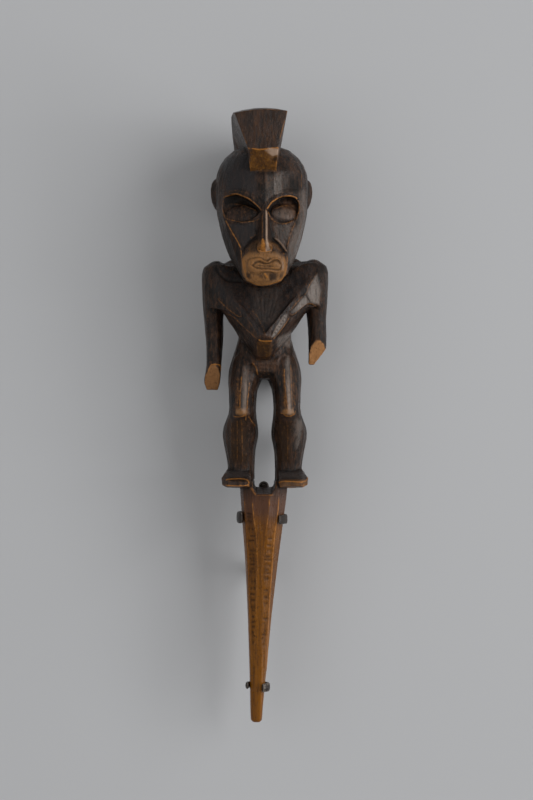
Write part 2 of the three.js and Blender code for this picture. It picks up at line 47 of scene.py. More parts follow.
# The carver's measures: millimetres to the right of the middle, up from the tip of the stake,
# and out towards the viewer from the middle of the body.
MM = 0.001
MIDDLE_ABOVE_FLOOR = 36.5
TIP_OF_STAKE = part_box("deity_figure")[0].y
BENCH = np.array([0.0, TIP_OF_STAKE / MM, MIDDLE_ABOVE_FLOOR])

# How far below the topmost wood the front still counts as seen, the least its normals face the viewer,
# and from where out a stain may cover steep walls
SEEN_DEPTH = 5.0
SEEN_FACING = 0.03
WALLS_FROM = 15.0

# How wide the mark is that a worn crown leaves, the painted shadow at the foot of a ledge, and the worn edge
# of a ledge
CROWN_MARK = 0.42
FOOT_MARK = 0.8
LEDGE_MARK = 0.5

# The index of every vertex
EVERY = slice(None)


def place(x, height, out):
    """A point of the carver's measures in the frame, in metres."""
    return Vector((np.array([x, height, out]) + BENCH) * MM)


def copied(node, name):
    """A piece with its own mesh that starts as a CAD node's, its doubles merged."""
    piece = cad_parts[node].copy()
    piece.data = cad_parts[node].data.copy()
    piece.name = name
    piece.data.name = name
    piece.parent = None
    for mark in [key for key in piece.keys() if key.startswith("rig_")]:
        del piece[mark]
    bpy.context.scene.collection.objects.link(piece)
    take(piece)
    bpy.ops.object.mode_set(mode="EDIT")
    bpy.ops.mesh.select_all(action="SELECT")
    bpy.ops.mesh.remove_doubles(threshold=0.00001)
    bpy.ops.object.mode_set(mode="OBJECT")
    return piece


def take(piece):
    """Makes a piece the only selected and active one."""
    bpy.ops.object.select_all(action="DESELECT")
    piece.select_set(True)
    bpy.context.view_layer.objects.active = piece


def finished(piece, kind, **settings):
    """Adds a modifier to a piece and applies it."""
    take(piece)
    modifier = piece.modifiers.new(kind.lower(), kind)
    for key, value in settings.items():
        setattr(modifier, key, value)
    bpy.ops.object.modifier_apply(modifier=modifier.name)


def eased(value, low, high):
    """0 below low, 1 above high, and a smooth step between."""
    share = np.clip((value - low) / (high - low), 0.0, 1.0)
    return share * share * (3.0 - 2.0 * share)


def between(value, rise, full, fall, end):
    """0 outside a band of values, 1 within it, and a smooth step at either side."""
    return eased(value, rise, full) * (1 - eased(value, fall, end))


def faded(share, taper):
    """A line's strength along its length: it fades out over a share of it at either end."""
    return eased(share, -0.001, taper) * eased(1 - share, -0.001, taper)


def bell(distance, width):
    """1 at no distance, falling off smoothly on either side."""
    return np.exp(-((distance / width) ** 2))


def curve_through(points, steps=8):
    """Points close together on a smooth curve through the given ones."""
    p = np.array(points, float)
    p = np.vstack([2 * p[0] - p[1], p, 2 * p[-1] - p[-2]])
    t = np.linspace(0.0, 1.0, steps, endpoint=False)[:, None]
    out = []
    for a, b, c, d in zip(p, p[1:], p[2:], p[3:]):
        square, cube = 2 * a - 5 * b + 4 * c - d, 3 * b - a - 3 * c + d
        out.append(0.5 * (2 * b + (c - a) * t + square * t**2 + cube * t**3))
    return np.vstack([*out, p[-2:-1]])


class Wood:
    """A mesh as arrays, with the tools that cut it."""

    def __init__(self, piece):
        self.piece = piece
        mesh = piece.data
        count = len(mesh.vertices)
        flat = np.empty(count * 3)
        mesh.vertices.foreach_get("co", flat)
        self.points = flat.reshape(-1, 3) / MM - BENCH
        edges = np.empty(len(mesh.edges) * 2, np.int64)
        mesh.edges.foreach_get("vertices", edges)
        self.one, self.two = edges.reshape(-1, 2).T
        self.degree = np.bincount(self.one, minlength=count) + np.bincount(self.two, minlength=count)
        self.marks = {}
        self.look()

    def look(self):
        """Writes the points back, and reads the normals anew."""
        mesh = self.piece.data
        mesh.vertices.foreach_set("co", ((self.points + BENCH) * MM).ravel())
        mesh.update()
        flat = np.empty(len(self.points) * 3)
        mesh.vertex_normals.foreach_get("vector", flat)
        self.normals = flat.reshape(-1, 3)
        # Seen from the front is what lies near the topmost vertex of each square millimetre
        cell = np.floor(self.points[:, :2]).astype(int)
        cell -= cell.min(0)
        cell = cell[:, 0] + cell[:, 1] * (cell[:, 0].max() + 1)
        top = np.full(cell.max() + 1, -np.inf)
        np.maximum.at(top, cell, self.points[:, 2])
        near_top = self.points[:, 2] > top[cell] - SEEN_DEPTH
        self.seen = near_top & (self.normals[:, 2] > SEEN_FACING)

    def averaged(self, values):
        """Each vertex's mean over its neighbours."""
        count = len(values)
        total = [
            np.bincount(self.one, v[self.two], count) + np.bincount(self.two, v[self.one], count)
            for v in values.reshape(count, -1).T
        ]
        return (np.array(total) / self.degree).T.reshape(values.shape)

    def smoothed(self, times, share=1.0, swell=-0.52):
        """Rounds the surface: each step in is made up for by a swell, unless that is 0."""
        for _ in range(times):
            for weight in (0.5, swell):
                move = self.averaged(self.points) - self.points
                self.points = self.points + move * weight * np.reshape(share, (-1, 1))
        self.look()

    def front(self, low=0.05, high=0.4):
        """How much each vertex faces the viewer."""
        return eased(self.normals[:, 2], low, high)

    def boxed(self, corners, reach, walls=False):
        """The vertices in the box round some points, those seen from the front or walls as well."""
        low, high = np.min(corners, 0) - reach, np.max(corners, 0) + reach
        flat = self.points[:, :2]
        chosen = self.points[:, 2] > WALLS_FROM if walls else self.seen
        return np.flatnonzero(np.all((flat > low) & (flat < high), axis=1) & chosen)

    def measured(self, index, path):
        """How far vertices lie from a path, on which side of it, and how far along it."""
        start, step = path[:-1], np.diff(path, axis=0)
        length = np.linalg.norm(step, axis=1)
        gap = self.points[index, None, :2] - start
        share = np.clip((gap * step).sum(2) / length**2, 0.0, 1.0)
        distance = np.linalg.norm(gap - share[..., None] * step, axis=2)
        best = distance.argmin(1)
        row = np.arange(len(index))
        side = step[best, 0] * gap[row, best, 1] - step[best, 1] * gap[row, best, 0]
        so_far = np.concatenate([[0.0], np.cumsum(length)])
        place_on = (so_far[best] + share[row, best] * length[best]) / so_far[-1]
        return distance[row, best], np.sign(side), place_on

    def along(self, path, reach, smooth=True):
        """The front vertices near a path: their indices, distances, side of it and share along it."""
        path = curve_through(path) if smooth else np.array(path, float)
        index = self.boxed(path, reach)
        distance, side, share = self.measured(index, path)
        close = distance < reach
        return index[close], distance[close], side[close], share[close]

    def within(self, corners, soft, walls=False):
        """The vertices inside an outline, and a share that fades out at its edge."""
        ring = np.vstack([corners, corners[:1]]).astype(float)
        index = self.boxed(ring, soft, walls)
        x, y = self.points[index, :2].T
        crossings = np.zeros(len(index), int)
        for (ax, ay), (bx, by) in zip(ring, ring[1:]):
            spans = (ay > y) != (by > y)
            crossings += spans & (x < ax + (y - ay) * (bx - ax) / (by - ay + 1e-12))
        distance = self.measured(index, ring)[0] * np.where(crossings % 2, 1.0, -1.0)
        share = eased(distance, -soft, soft)
        return index[share > 0], share[share > 0]

    def push(self, index, amount):
        self.points[index] += self.normals[index] * np.reshape(amount, (-1, 1))

    def mark(self, name, index, amount):
        """Paints a mask, which keeps the stronger of the old and new value."""
        mask = self.marks.setdefault(name, np.zeros(len(self.points)))
        mask[index] = np.maximum(mask[index], np.clip(amount, 0.0, 1.0))

    def ridge(self, path, width, height, worn, taper=0.1, smooth=True):
        """A raised line, rubbed through to lighter wood on its crown."""
        index, distance, _, share = self.along(path, 3 * width, smooth)
        fade = faded(share, taper)
        self.push(index, height * fade * bell(distance, width))
        self.mark("worn", index, worn * fade * bell(distance, CROWN_MARK))

    def groove(self, path, width, depth, dark, taper=0.12, smooth=True):
        """A cut with a V section, darkened inside as painted shade."""
        index, distance, _, share = self.along(path, 2 * width, smooth)
        fade = faded(share, taper)
        inside = np.clip(1 - distance / width, 0.0, 1.0)
        self.push(index, -depth * fade * inside)
        self.mark("dark", index, dark * fade * inside)

    def step(self, path, width, depth, dark, worn, taper=0.15):
        """A ledge: the wood to the right of a path is cut down, and runs out again. Its foot gets a painted
        shadow, its edge a worn mark.
        """
        index, distance, side, share = self.along(path, width)
        fade = faded(share, taper)
        self.push(index, -depth * fade * eased(1 - distance / width, 0.0, 1.0) * (side < 0))
        self.mark("dark", index, dark * fade * (side < 0) * bell(distance, FOOT_MARK))
        self.mark("worn", index, worn * fade * (side > 0) * bell(distance, LEDGE_MARK))

    def facet(self, corners, turn=(0.0, 0.0), share=0.9, soft=0.4):
        """Pares a patch flat, then turned by how much it rises to the right and up the carving."""
        index, weight = self.within(corners, soft)
        inner = index[weight > 0.5]
        middle = self.points[inner].mean(0)
        gap = self.points[inner] - middle
        slope = np.linalg.lstsq(gap[:, :2], gap[:, 2], rcond=None)[0] + turn
        depth = middle[2] + (self.points[index, :2] - middle[:2]) @ slope
        self.points[index, 2] += share * weight * (depth - self.points[index, 2])

    def strips(self, corners, knots, lifts, share=0.9, soft=1.0, run_out=5.0):
        """Pares a rounded patch into flat strips side by side, with an edge at each knot."""
        knots, lifts = np.array(knots), np.array(lifts)
        index, weight = self.within(corners, soft)
        x, height, out = self.points[index].T
        weight = weight * eased(np.max(corners, 0)[1] - height, 0.0, run_out)

        def terms(across):
            return np.stack([np.ones_like(x), across, across**2, height, height * across, height**2], 1)

        curve = np.linalg.lstsq(terms(x), out, rcond=None)[0]
        right = np.clip(np.searchsorted(knots, x), 1, len(knots) - 1)
        low, high = (terms(knots[side]) @ curve + lifts[side] for side in (right - 1, right))
        along = (x - knots[right - 1]) / (knots[right] - knots[right - 1])
        self.points[index, 2] += share * weight * (low + (high - low) * along - out)

    def stain(self, name, corners, amount, soft, walls=False, run_out=0.01):
        """Paints a mask inside an outline, which may run out slowly towards its top."""
        index, weight = self.within(corners, soft, walls)
        top = np.max(corners, 0)[1] + soft
        self.mark(name, index, amount * weight * eased(top - self.points[index, 1], 0.0, run_out))

    def wipe(self, name, corners, share, soft=0.8):
        """Thins a mask inside an outline."""
        index, weight = self.within(corners, soft)
        self.marks[name][index] *= 1 - share * weight

    def swell(self, middle, radius, height):
        """A soft round swelling."""
        distance = np.linalg.norm(self.points[:, :2] - middle, axis=1)
        index = np.flatnonzero((distance < 2.5 * radius) & self.seen)
        self.push(index, height * bell(distance[index], radius))

    def knife_cuts(self, where, size, depth, seed):
        """Long shallow scallops, one to a cell, as a knife leaves them. The size is a cell's three sides."""
        index = np.flatnonzero(where > 0.01)
        at = self.points[index] / size
        cell = np.floor(at).astype(np.int64)
        nearest = np.full(len(index), 9.0)
        second = np.full(len(index), 9.0)
        for shift in np.ndindex(3, 3, 3):
            other = cell + np.array(shift) - 1
            centre = other + 0.5 + 0.42 * scattered(other, seed)
            gap = ((at - centre) ** 2).sum(1)
            second = np.minimum(second, np.maximum(nearest, gap))
            nearest = np.minimum(nearest, gap)
        dish = np.clip(second - nearest, 0.0, 0.7) / 0.7
        self.push(index, -depth * where[index] * np.sqrt(dish))

    def curvature(self, times):
        """How far each vertex stands out of its surroundings, in millimetres."""
        round_about = self.points
        for _ in range(times):
            round_about = self.averaged(round_about)
        return ((self.points - round_about) * self.normals).sum(1)

    def kept_in(self, node):
        """Keeps the surface within a CAD node's box."""
        low, high = (np.array(corner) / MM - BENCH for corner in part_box(node))
        self.points = np.clip(self.points, low, high)
        self.look()

    def keep_marks(self):
        for name, mask in self.marks.items():
            layer = self.piece.data.attributes.new(name, "FLOAT", "POINT")
            layer.data.foreach_set("value", mask.astype(np.float32))


def scattered(cells, seed):
    """A steady random offset from -1 to 1 on each axis for each whole cell."""
    x, y, z = cells.T
    base = (x * 73856093) ^ (y * 19349663) ^ (z * 83492791) ^ (seed * 2654435761)
    out = []
    for turn in (1, 2, 3):
        mixed = (base * (2 * turn + 1) + turn * 374761393) & 0xFFFFFFFF
        mixed = ((mixed ^ (mixed >> 15)) * 2246822519) & 0xFFFFFFFF
        mixed = ((mixed ^ (mixed >> 13)) * 3266489917) & 0xFFFFFFFF
        out.append((mixed ^ (mixed >> 16)) / 2147483648.0 - 1.0)
    return np.stack(out, 1)


def wavy(points, size, seed):
    """Smooth noise from -1 to 1, one swell to each size."""
    at = points / size
    cell = np.floor(at).astype(np.int64)
    share = at - cell
    share = share * share * (3 - 2 * share)
    total = np.zeros(len(at))
    for shift in np.ndindex(2, 2, 2):
        weight = np.prod(np.where(shift, share, 1 - share), axis=1)
        total += weight * scattered(cell + np.array(shift), seed)[:, 0]
    return total


# The figure's carving, as it shows from the front. Lines run to the right or down the carving.
# The row of a line: ridge or groove, its width, its height or depth, how strongly it colours the wood
# (a ridge's worn crown, a groove's painted shade), its points and, if they aren't the usual ones,
# how far its ends fade and whether it runs smoothly.
# The row of a stain: its mask, how strong and how soft it is, its outline and, if they aren't the usual
# ones, whether it covers walls and how far its top runs out.
FOREHEAD = [
    (-24, 374), (-24, 361), (-14.5, 361), (-6.5, 356), (-0.8, 351.5), (5.5, 358), (15, 361), (24, 361),
    (24, 374),
]
FOREHEAD_KNOTS = [-24.0, -14.5, -5.3, -0.1, 5.6, 11.7, 15.8, 24.0]
FOREHEAD_LIFTS = [0.0, 0.1, 0.0, 0.3, 0.4, -0.4, -0.7, -0.1]
# Painted shade on the forehead strips that face away from the light, painted sheen on those that face it
FOREHEAD_STAINS = [
    ("dark", 0.9, 0.5, [(-4.9, 372.5), (-0.4, 372.5), (-0.4, 350.5), (-4.6, 354.5)]),
    ("dark", 0.85, 1.0, [(16.2, 373), (23, 372), (23.5, 360), (16.2, 359)], False, 9.0),
    ("dark", 0.35, 0.4, [(11.9, 374), (15.8, 374), (15.8, 359), (11.9, 358)], False, 6.0),
    ("sheen", 0.5, 0.4, [(5.9, 373), (11.5, 373), (11.5, 359), (8.5, 357.5), (5.9, 357)], False, 5.0),
    ("sheen", 0.22, 0.4, [(0.2, 373), (5.4, 373), (5.4, 357), (0.2, 352)], False, 5.0),
    ("sheen", 0.15, 0.4, [(12, 373), (15.6, 373), (15.6, 360), (12, 359)], False, 5.0),
    ("calm", 0.8, 1.5, [(-30, 384), (-10, 386), (-5.4, 373), (-5.4, 356.5), (-14, 361), (-26, 360)]),
]
FOREHEAD_LINES = [
    ("ridge", 0.6, 0.2, 0.4, [(24.2, 376), (24.6, 367), (24, 359.5)], 0.3),
    ("ridge", 0.5, 0.1, 1.0, [(-9.2, 387.4), (-4, 386.6), (0, 386.9), (9.3, 387.8)], 0.03),
]

BROWS = [
    [(-27.6, 354.9), (-27.1, 356.2), (-24.2, 357.2), (-19.7, 358), (-14.6, 356.3), (-9.4, 353.4),
     (-4.3, 348.9), (-1.9, 345.7)],
    [(1.1, 347), (4, 351.5), (7.6, 354.2), (11.7, 355.9), (16.2, 356.8), (20.1, 356.1), (21.8, 354.6)],
]
BROW_TOPS = [
    [(-25.2, 358.9), (-20.9, 359.3), (-16.1, 358.6), (-12, 357.1), (-6.8, 352.8), (-1.7, 348.7)],
    [(-0.5, 350), (2.1, 353.3), (5.9, 356), (9.8, 357.4), (15, 358.2), (21.7, 356.7)],
]
LOWER_RIMS = [
    [(-27.6, 354.9), (-28.6, 350.4), (-28, 345.5), (-26.4, 341.9), (-22.8, 340.4), (-18.3, 339.2),
     (-13.8, 338.5), (-9.4, 339), (-5.5, 339.9), (-3.3, 341.3)],
    [(21.8, 354.6), (23, 351), (22.3, 346.2), (20.3, 342.2), (17.4, 339.5), (13.6, 337.7), (9.7, 337.8),
     (5.9, 339.5), (3.4, 342.1), (1.8, 346.2)],
]
LIDS = [
    [(-27.2, 349.6), (-23.6, 351.5), (-18.4, 351.4), (-13.2, 349.9), (-8.1, 347.6), (-3.3, 344.9)],
    [(4, 345.2), (7.9, 348.4), (13, 350.2), (17.5, 350.4), (20.1, 349.8)],
]
# Painted shadow under the brows, deep in the left socket and faint in the right, and a dark band along the
# foot of the right eye
SOCKET_STAINS = [
    ("dark", 0.85, 0.7, BROWS[0] + LIDS[0][::-1], True),
    ("dark", 0.25, 0.5, [(3, 347.5), (7, 350.8), (12, 352.6), (18.5, 353), (21, 352.5), (19.5, 355.2),
     (15, 355.6), (8.5, 353.2)], True),
    ("dark", 0.5, 0.5, [(3.5, 344), (5.5, 340.5), (9.5, 338.6), (13.6, 338.5), (16.5, 340), (12, 341.5),
     (7, 342.5)]),
]
RIGHT_EYE = [(11, 351), (19, 354), (21.5, 349), (19.5, 342), (10, 340)]

NOSE_WORK = [
    ("groove", 1.3, 0.35, 0.5, [(-3.4, 341), (-3.4, 331), (-4, 324)]),
    ("groove", 1.3, 0.4, 0.75, [(3.3, 341), (3.2, 331), (3.8, 324)]),
    ("ridge", 0.5, 0.25, 0.4, [(-1.7, 343.5), (-1.6, 336.9), (-1.7, 330.3), (-1.7, 320.9)], 0.03),
    ("ridge", 0.5, 0.5, 0.5, [(0.8, 347), (0.9, 342.1), (1.1, 335.6), (0.9, 329), (1.5, 320.3)], 0.03),
    # Painted highlight down the nose ridge
    ("pale", 0.9, 0.3, [(0.2, 347), (1.5, 345), (1.6, 327), (2.4, 322.6), (4, 319.4), (0.5, 318.8),
     (0.4, 326)]),
    ("worn", 0.8, 0.4, [(-2.2, 327), (-1, 327), (0.5, 323), (0.5, 318.7), (-3.9, 318.7), (-2.6, 321.6)]),
    ("groove", 0.7, 0.3, 1.0, [(-0.5, 350.5), (-0.4, 346), (-0.3, 338.8), (-0.3, 330)]),
]
NOSTRILS = [(-4.4, 322.2), (4.3, 322.4)]
NOSTRIL_WORK = [
    ("ridge", 0.6, 0.2, 0.9, [(-5, 321.5), (-4.3, 319.3), (-1.7, 318.7), (0.8, 318.7), (4, 319.2),
     (4.6, 321.3)], 0.05),
    ("worn", 0.5, 0.5, [(4.2, 325), (5.4, 323.6), (5.6, 320.4), (4.4, 319.4)]),
    ("groove", 0.8, 0.4, 0.8, [(-5.4, 324.5), (-5.9, 321.5), (-5.2, 318.9), (-3.5, 317.8)]),
    ("groove", 0.8, 0.4, 0.8, [(4.6, 324), (5.4, 321.5), (4.9, 318.9), (3.2, 317.8)]),
]

CHEEKS = [
    [(-24.5, 338), (-8, 337), (-5.6, 330), (-14.5, 322.5)],
    [(5, 336), (15.5, 336), (17.5, 331), (14.8, 324), (8, 328.5)],
]
# Painted shade on the left side of the jaw, turned from the light; painted sheen on the right cheek, the
# foot of the right eye, the right jaw and the right side of the head
CHEEK_WORK = [
    ("calm", 0.75, 1.0, [(-24, 337.5), (-6, 337.5), (-5.6, 329.5), (-14.5, 322.5)]),
    ("sheen", 0.25, 1.0, [(5.5, 337), (17, 337), (16, 328), (13, 323), (6, 329.5)]),
    ("sheen", 0.25, 1.5, [(5, 345), (12, 348), (20, 347), (17, 341), (8, 340)]),
    ("ridge", 0.55, 0.3, 0.8, [(-26.6, 340.9), (-24.1, 336.3), (-20.9, 330.4), (-18, 325.4),
     (-15.7, 320.6)], 0.06),
    ("ridge", 0.55, 0.3, 0.45, [(22.9, 352), (23.1, 348.2), (21.6, 342.9), (19.7, 337.6), (17.7, 333),
     (16.1, 327.8), (14.5, 321.3)], 0.06),
    ("dark", 0.6, 1.0, [(-28, 338), (-25, 336), (-16.4, 320), (-16.4, 312), (-13.6, 302), (-18, 303),
     (-25, 312), (-29.5, 326)], True),
    ("sheen", 0.4, 1.5, [(19, 334), (25, 338), (24, 322), (18, 309), (15.8, 312), (16, 322)], True),
    ("sheen", 0.35, 1.2, [(22.8, 360), (27.5, 362), (28.5, 345), (26, 330), (22, 334), (23.6, 346)], True),
    ("groove", 1.0, 0.3, 0.4, [(-14.4, 320.6), (-12.2, 323.4), (-9.4, 326), (-5.5, 327.9)]),
]
CHEEK_LEDGE = [(4.9, 328.7), (5.9, 327.7), (9.1, 325.1), (11.6, 322), (14.2, 318.1)]
CHEEK_LEDGE_TOP = [(6.6, 328.1), (9.7, 325.9), (12.2, 322.8), (14.8, 318.9)]
CHEEK_LEDGE_GLINT = [
    (6.6, 328.4), (9.9, 326.2), (12.4, 323.1), (14.6, 319.6), (14.2, 319.2), (11.6, 322.6), (9, 325.6),
    (6.2, 327.8),
]

MUZZLE_EDGE = [
    (-15.7, 320.6), (-15.5, 314.8), (-14.4, 309), (-12.5, 302.7), (-9.4, 298.9), (-4.3, 296.7),
    (0.8, 296.9), (6, 298.2), (10.4, 300), (13.2, 304.2), (14.5, 309.9), (14.7, 314.3), (14.2, 318.1),
]
LIP_RIM = [
    (-11.9, 310.6), (-10.6, 313.2), (-6.7, 314.2), (-2.9, 314.4), (-0.3, 312.6), (1.7, 311.9),
    (3.6, 313.6), (7, 314.6), (10.1, 313.3), (11.6, 310.3), (11.6, 306.8), (9.7, 305.1), (5.9, 304.8),
    (2.4, 305.3), (-1.8, 305), (-5.2, 304.2), (-8.7, 304.9), (-10.9, 306.8),
]
LIP_HOLLOW = [
    (-9.2, 309.5), (-6.7, 311.7), (-3.7, 312.6), (-1.8, 312), (-0.3, 310.9), (2.4, 311), (3.9, 312.6),
    (7, 313.6), (9.7, 312.5), (10.9, 309.9), (10.9, 307.6), (9.3, 305.8), (6.2, 305.7), (1.7, 306.6),
    (-2.2, 306.7), (-5.2, 306.9), (-7.5, 307.9),
]
UPPER_LIP = [(-7.6, 309.7), (-4, 311.3), (-0.3, 310.4), (3.6, 311.2), (7.4, 312.4), (9.9, 310)]
LOWER_LIP = [(-7, 308.6), (-3.6, 307.7), (0.6, 307.5), (5, 307), (8.6, 306.8), (10, 308.4)]
MOUTH_WORK = [
    ("groove", 0.6, 0.15, 0.25, UPPER_LIP),
    ("groove", 0.6, 0.15, 0.25, LOWER_LIP),
    ("groove", 0.6, 0.3, 0.45, [(-8.3, 309.7), (-3.6, 309.2), (1.7, 309), (5.9, 308.8), (10, 308.9)]),
    ("groove", 0.7, 0.15, 0.5, [(-7.4, 311), (-5, 312.2), (-2.8, 312)]),
    ("groove", 0.6, 0.2, 0.8, [(6.8, 313.6), (9.6, 312.6), (10.9, 309.9), (10.9, 307.4), (9.4, 305.9)]),
    ("groove", 0.8, 0.2, 0.45, [(-10.6, 305), (-8.2, 303.6), (-5.2, 303.2), (-1.8, 304)]),
    # Painted highlight on the right corner of the lips
    ("pale", 0.5, 0.3, [(11.2, 306.6), (12.1, 306.6), (12.6, 309.6), (11.8, 312.4), (11, 312.4),
     (11.6, 309.4)]),
    ("dark", 0.5, 1.4, [(-10.2, 326.6), (-6.4, 328), (-5.6, 324), (-6, 318.6), (-8.6, 319), (-12, 321.6)]),
    ("dark", 0.6, 0.9, [(2.6, 304.4), (7.6, 304.6), (7, 300.2), (3.4, 299.8)]),
    ("dark", 0.45, 0.9, [(9.6, 304.6), (12.6, 305.6), (11.6, 301.6), (9.4, 300.6)]),
    ("dark", 0.4, 0.8, [(-4.6, 303.2), (-1.4, 303.8), (-1, 301), (-3.6, 300.8)]),
    ("dark", 0.55, 0.7, [(-11.8, 305.2), (-9.6, 303.8), (-10, 300.4), (-12.2, 302)]),
    ("groove", 0.7, 0.35, 0.7, [(-1.8, 304.4), (-0.8, 302.6), (0.4, 300.4)]),
    ("ridge", 0.55, 0.15, 0.9, [(-0.6, 304.6), (0.8, 302.6), (1.8, 300.9)], 0.1, False),
]

COLLAR = [(-33.3, 312.6), (-31.7, 306.8), (-27.8, 302.8), (-24.2, 300.9), (-16.8, 300.4), (-12, 301)]
SHOULDER_FACET = [(35.6, 306.5), (30, 297), (27.8, 291.5), (31, 286), (37.2, 284), (38.4, 294.5)]
BREAST_FACET = [(27.2, 291), (16.4, 279.3), (18.6, 278), (23, 280.8), (30.5, 286)]
BREAST_LEDGE = [
    (15.3, 277.7), (18.6, 277.1), (22.2, 279.6), (25.2, 282.4), (28.2, 284.4), (31.3, 285), (34, 283.6),
    (36.8, 281.2),
]
BREAST_STAINS = [
    # Painted sheen on the right shoulder facet, on the bevel and edge of the right breast, and faintly over
    # the chest
    ("sheen", 0.8, 1.2, [(35, 305.5), (30, 297), (28, 291.5), (31, 286.5), (36.5, 285), (37.6, 294.5)]),
    ("sheen", 0.7, 0.8, [(27.2, 290.6), (17, 279.5), (19, 278.4), (23, 281.2), (30, 286.2)]),
    ("sheen", 0.8, 0.5, [(15.6, 277.4), (12.8, 277.4), (7, 268.4), (4.4, 262), (6, 262.4), (12.4, 270.6)]),
    ("calm", 0.45, 2.0, [(-36, 314), (-12, 303), (12, 303), (34, 312), (17, 282), (4, 264), (-5, 264),
     (-20, 281), (-34, 292)]),
    ("sheen", 0.12, 3.0, [(-10, 296), (12, 296), (8, 272), (-6, 272)]),
    ("dark", 0.85, 0.8, [(36.8, 313.5), (41.5, 312), (42.5, 306.5), (38, 307)]),
]
BEVEL_EDGE = [(35.2, 306), (29.7, 297.5), (27.6, 292.3), (23.4, 288), (19.2, 283.1), (15.6, 278.8)]
BREAST_LINES = [
    ("ridge", 0.7, 0.3, 0.5, [(-32.9, 290.1), (-26.8, 283.3), (-21.4, 279), (-17.8, 276.3),
     (-15.8, 276.3), (-14.9, 278.2)]),
    ("ridge", 0.7, 0.3, 0.45, [(-26.9, 279), (-20.8, 276), (-13, 268.1), (-8.2, 263.8), (-4.6, 260.2)]),
    ("ridge", 0.7, 0.3, 0.3, [(-20.8, 284.3), (-16.6, 279.4), (-13, 275.7), (-8.2, 269.1), (-4.6, 262.3)]),
    ("ridge", 0.7, 0.3, 0.4, [(-10, 281.1), (-5.8, 277), (-2.3, 270.3), (0.7, 262.5)]),
    ("groove", 0.8, 0.3, 0.6, [(-14.9, 278.2), (-15.2, 275.9), (-18, 275.4), (-21.8, 277.8)]),
    ("ridge", 0.6, 0.3, 0.35, [(13.2, 277.9), (10.8, 273.9), (7.2, 268), (4.2, 263)]),
    ("ridge", 0.6, 0.3, 0.5, [(16.8, 276.5), (13.2, 270.5), (9, 265.1), (4.8, 260.3)]),
    ("groove", 0.9, 0.5, 1.0, [(18.2, 276.5), (14.8, 270.9), (10.6, 264.9), (6.4, 259.9)]),
]
# Short nicks down the right edge of the breast: the highest, the lowest, and how many
BREAST_NICKS = ((13.58, 275.34), (7.02, 265.26), 6)
BREAST_TIP = [(-4.6, 260.7), (-2.3, 259.8), (1.3, 259.7), (4.8, 259.8)]
BREAST_FIBRES = (-11.0, -7.5, -4.0, -0.5, 3.0, 6.5, 10.0)
LOIN_WORK = [
    ("groove", 0.6, 0.15, 0.6, [(-39.6, 246.4), (-35.6, 247.2), (-31.2, 246)]),
    ("ridge", 0.5, 0.15, 0.9, [(-38.9, 237.6), (-37, 243.4), (-33.7, 244.4), (-30.5, 243.4),
     (-29.9, 238.9)]),
    ("groove", 0.6, 0.25, 0.8, [(36.2, 254.3), (38.1, 253.6), (40, 254.4)]),
    ("groove", 1.1, 0.35, 0.55, [(-16.7, 264.2), (-13.1, 257.7), (-7.7, 251.6)]),
    ("groove", 1.1, 0.35, 0.55, [(-14.3, 256.5), (-10.7, 252.9), (-7.1, 249.3)]),
    ("groove", 1.1, 0.35, 0.55, [(14.9, 254.2), (10.1, 250.2), (5.3, 247.2)]),
    ("ridge", 1.3, 0.35, 0.3, [(4.3, 249.3), (9.1, 252.9), (13.9, 257.2)]),
    ("ridge", 0.7, 0.3, 0.6, [(-8.9, 245.9), (-6.2, 242.4), (-4.8, 236.6)]),
    ("ridge", 0.6, 0.2, 0.4, [(-6.2, 247.6), (-1.4, 246.9), (3.1, 246.6)]),
    ("groove", 1.0, 0.3, 0.5, [(-4.8, 241.3), (0, 240.7), (4.8, 240.7)]),
    # Painted sheen on the right flank
    ("sheen", 0.6, 1.2, [(8.6, 262), (17.8, 266), (17, 256), (12.5, 257.2), (8.4, 255.4)]),
    ("rubbed", 0.9, 1.2, [(-9, 248.2), (9.6, 248.2), (8.4, 240), (-6.4, 240)]),
    ("honey", 0.7, 0.5, [(-5.2, 259.2), (4.8, 259.2), (4.3, 251), (1.3, 248.6), (-2.3, 248.6),
     (-5.3, 250.9)]),
    # Painted shade on the underside of the breast's tip, over its honey wood
    ("dark", 0.45, 0.5, [(-4.9, 257.4), (4.5, 257.4), (4.2, 251), (1.3, 249), (-2.3, 249), (-5, 251)]),
]

THIGHS = [
    [(-15.5, 243), (-8.6, 244.5), (-10.6, 233), (-12, 212.8), (-16.6, 213.5), (-16.2, 230)],
    [(13.2, 249), (17.2, 249), (17.6, 230), (18.4, 213.2), (15.8, 213), (13.6, 228)],
]
THIGH_LINES = [
    ("ridge", 0.6, 0.2, 0.8, [(-15.7, 237.3), (-16.2, 229.7), (-16.7, 222.1), (-16.8, 213.9)]),
    ("ridge", 0.6, 0.2, 0.65, [(-10.5, 233.1), (-11, 226.3), (-11.8, 219.4), (-12.2, 212.5)]),
    ("ridge", 0.7, 0.15, 0.3, [(-19.6, 227.6), (-20.2, 213.9)], 0.1, False),
    ("ridge", 0.6, 0.2, 0.6, [(13.1, 243), (13.1, 236.6), (13.7, 227.6), (14.6, 219.4), (16, 212.5)]),
    ("ridge", 0.6, 0.2, 0.6, [(17.2, 245), (17.4, 238.7), (17.7, 229.7), (18, 222.1), (18.4, 213.2)]),
    ("ridge", 0.6, 0.15, 0.3, [(20.7, 240), (21, 229.7), (20.6, 219.4), (19.9, 213.2)]),
]
LEFT_SHIN = [(-24, 206), (-13, 206), (-12, 178), (-24, 178)]
RIGHT_SHIN = [(10, 206), (17, 206), (17, 178), (10, 178)]
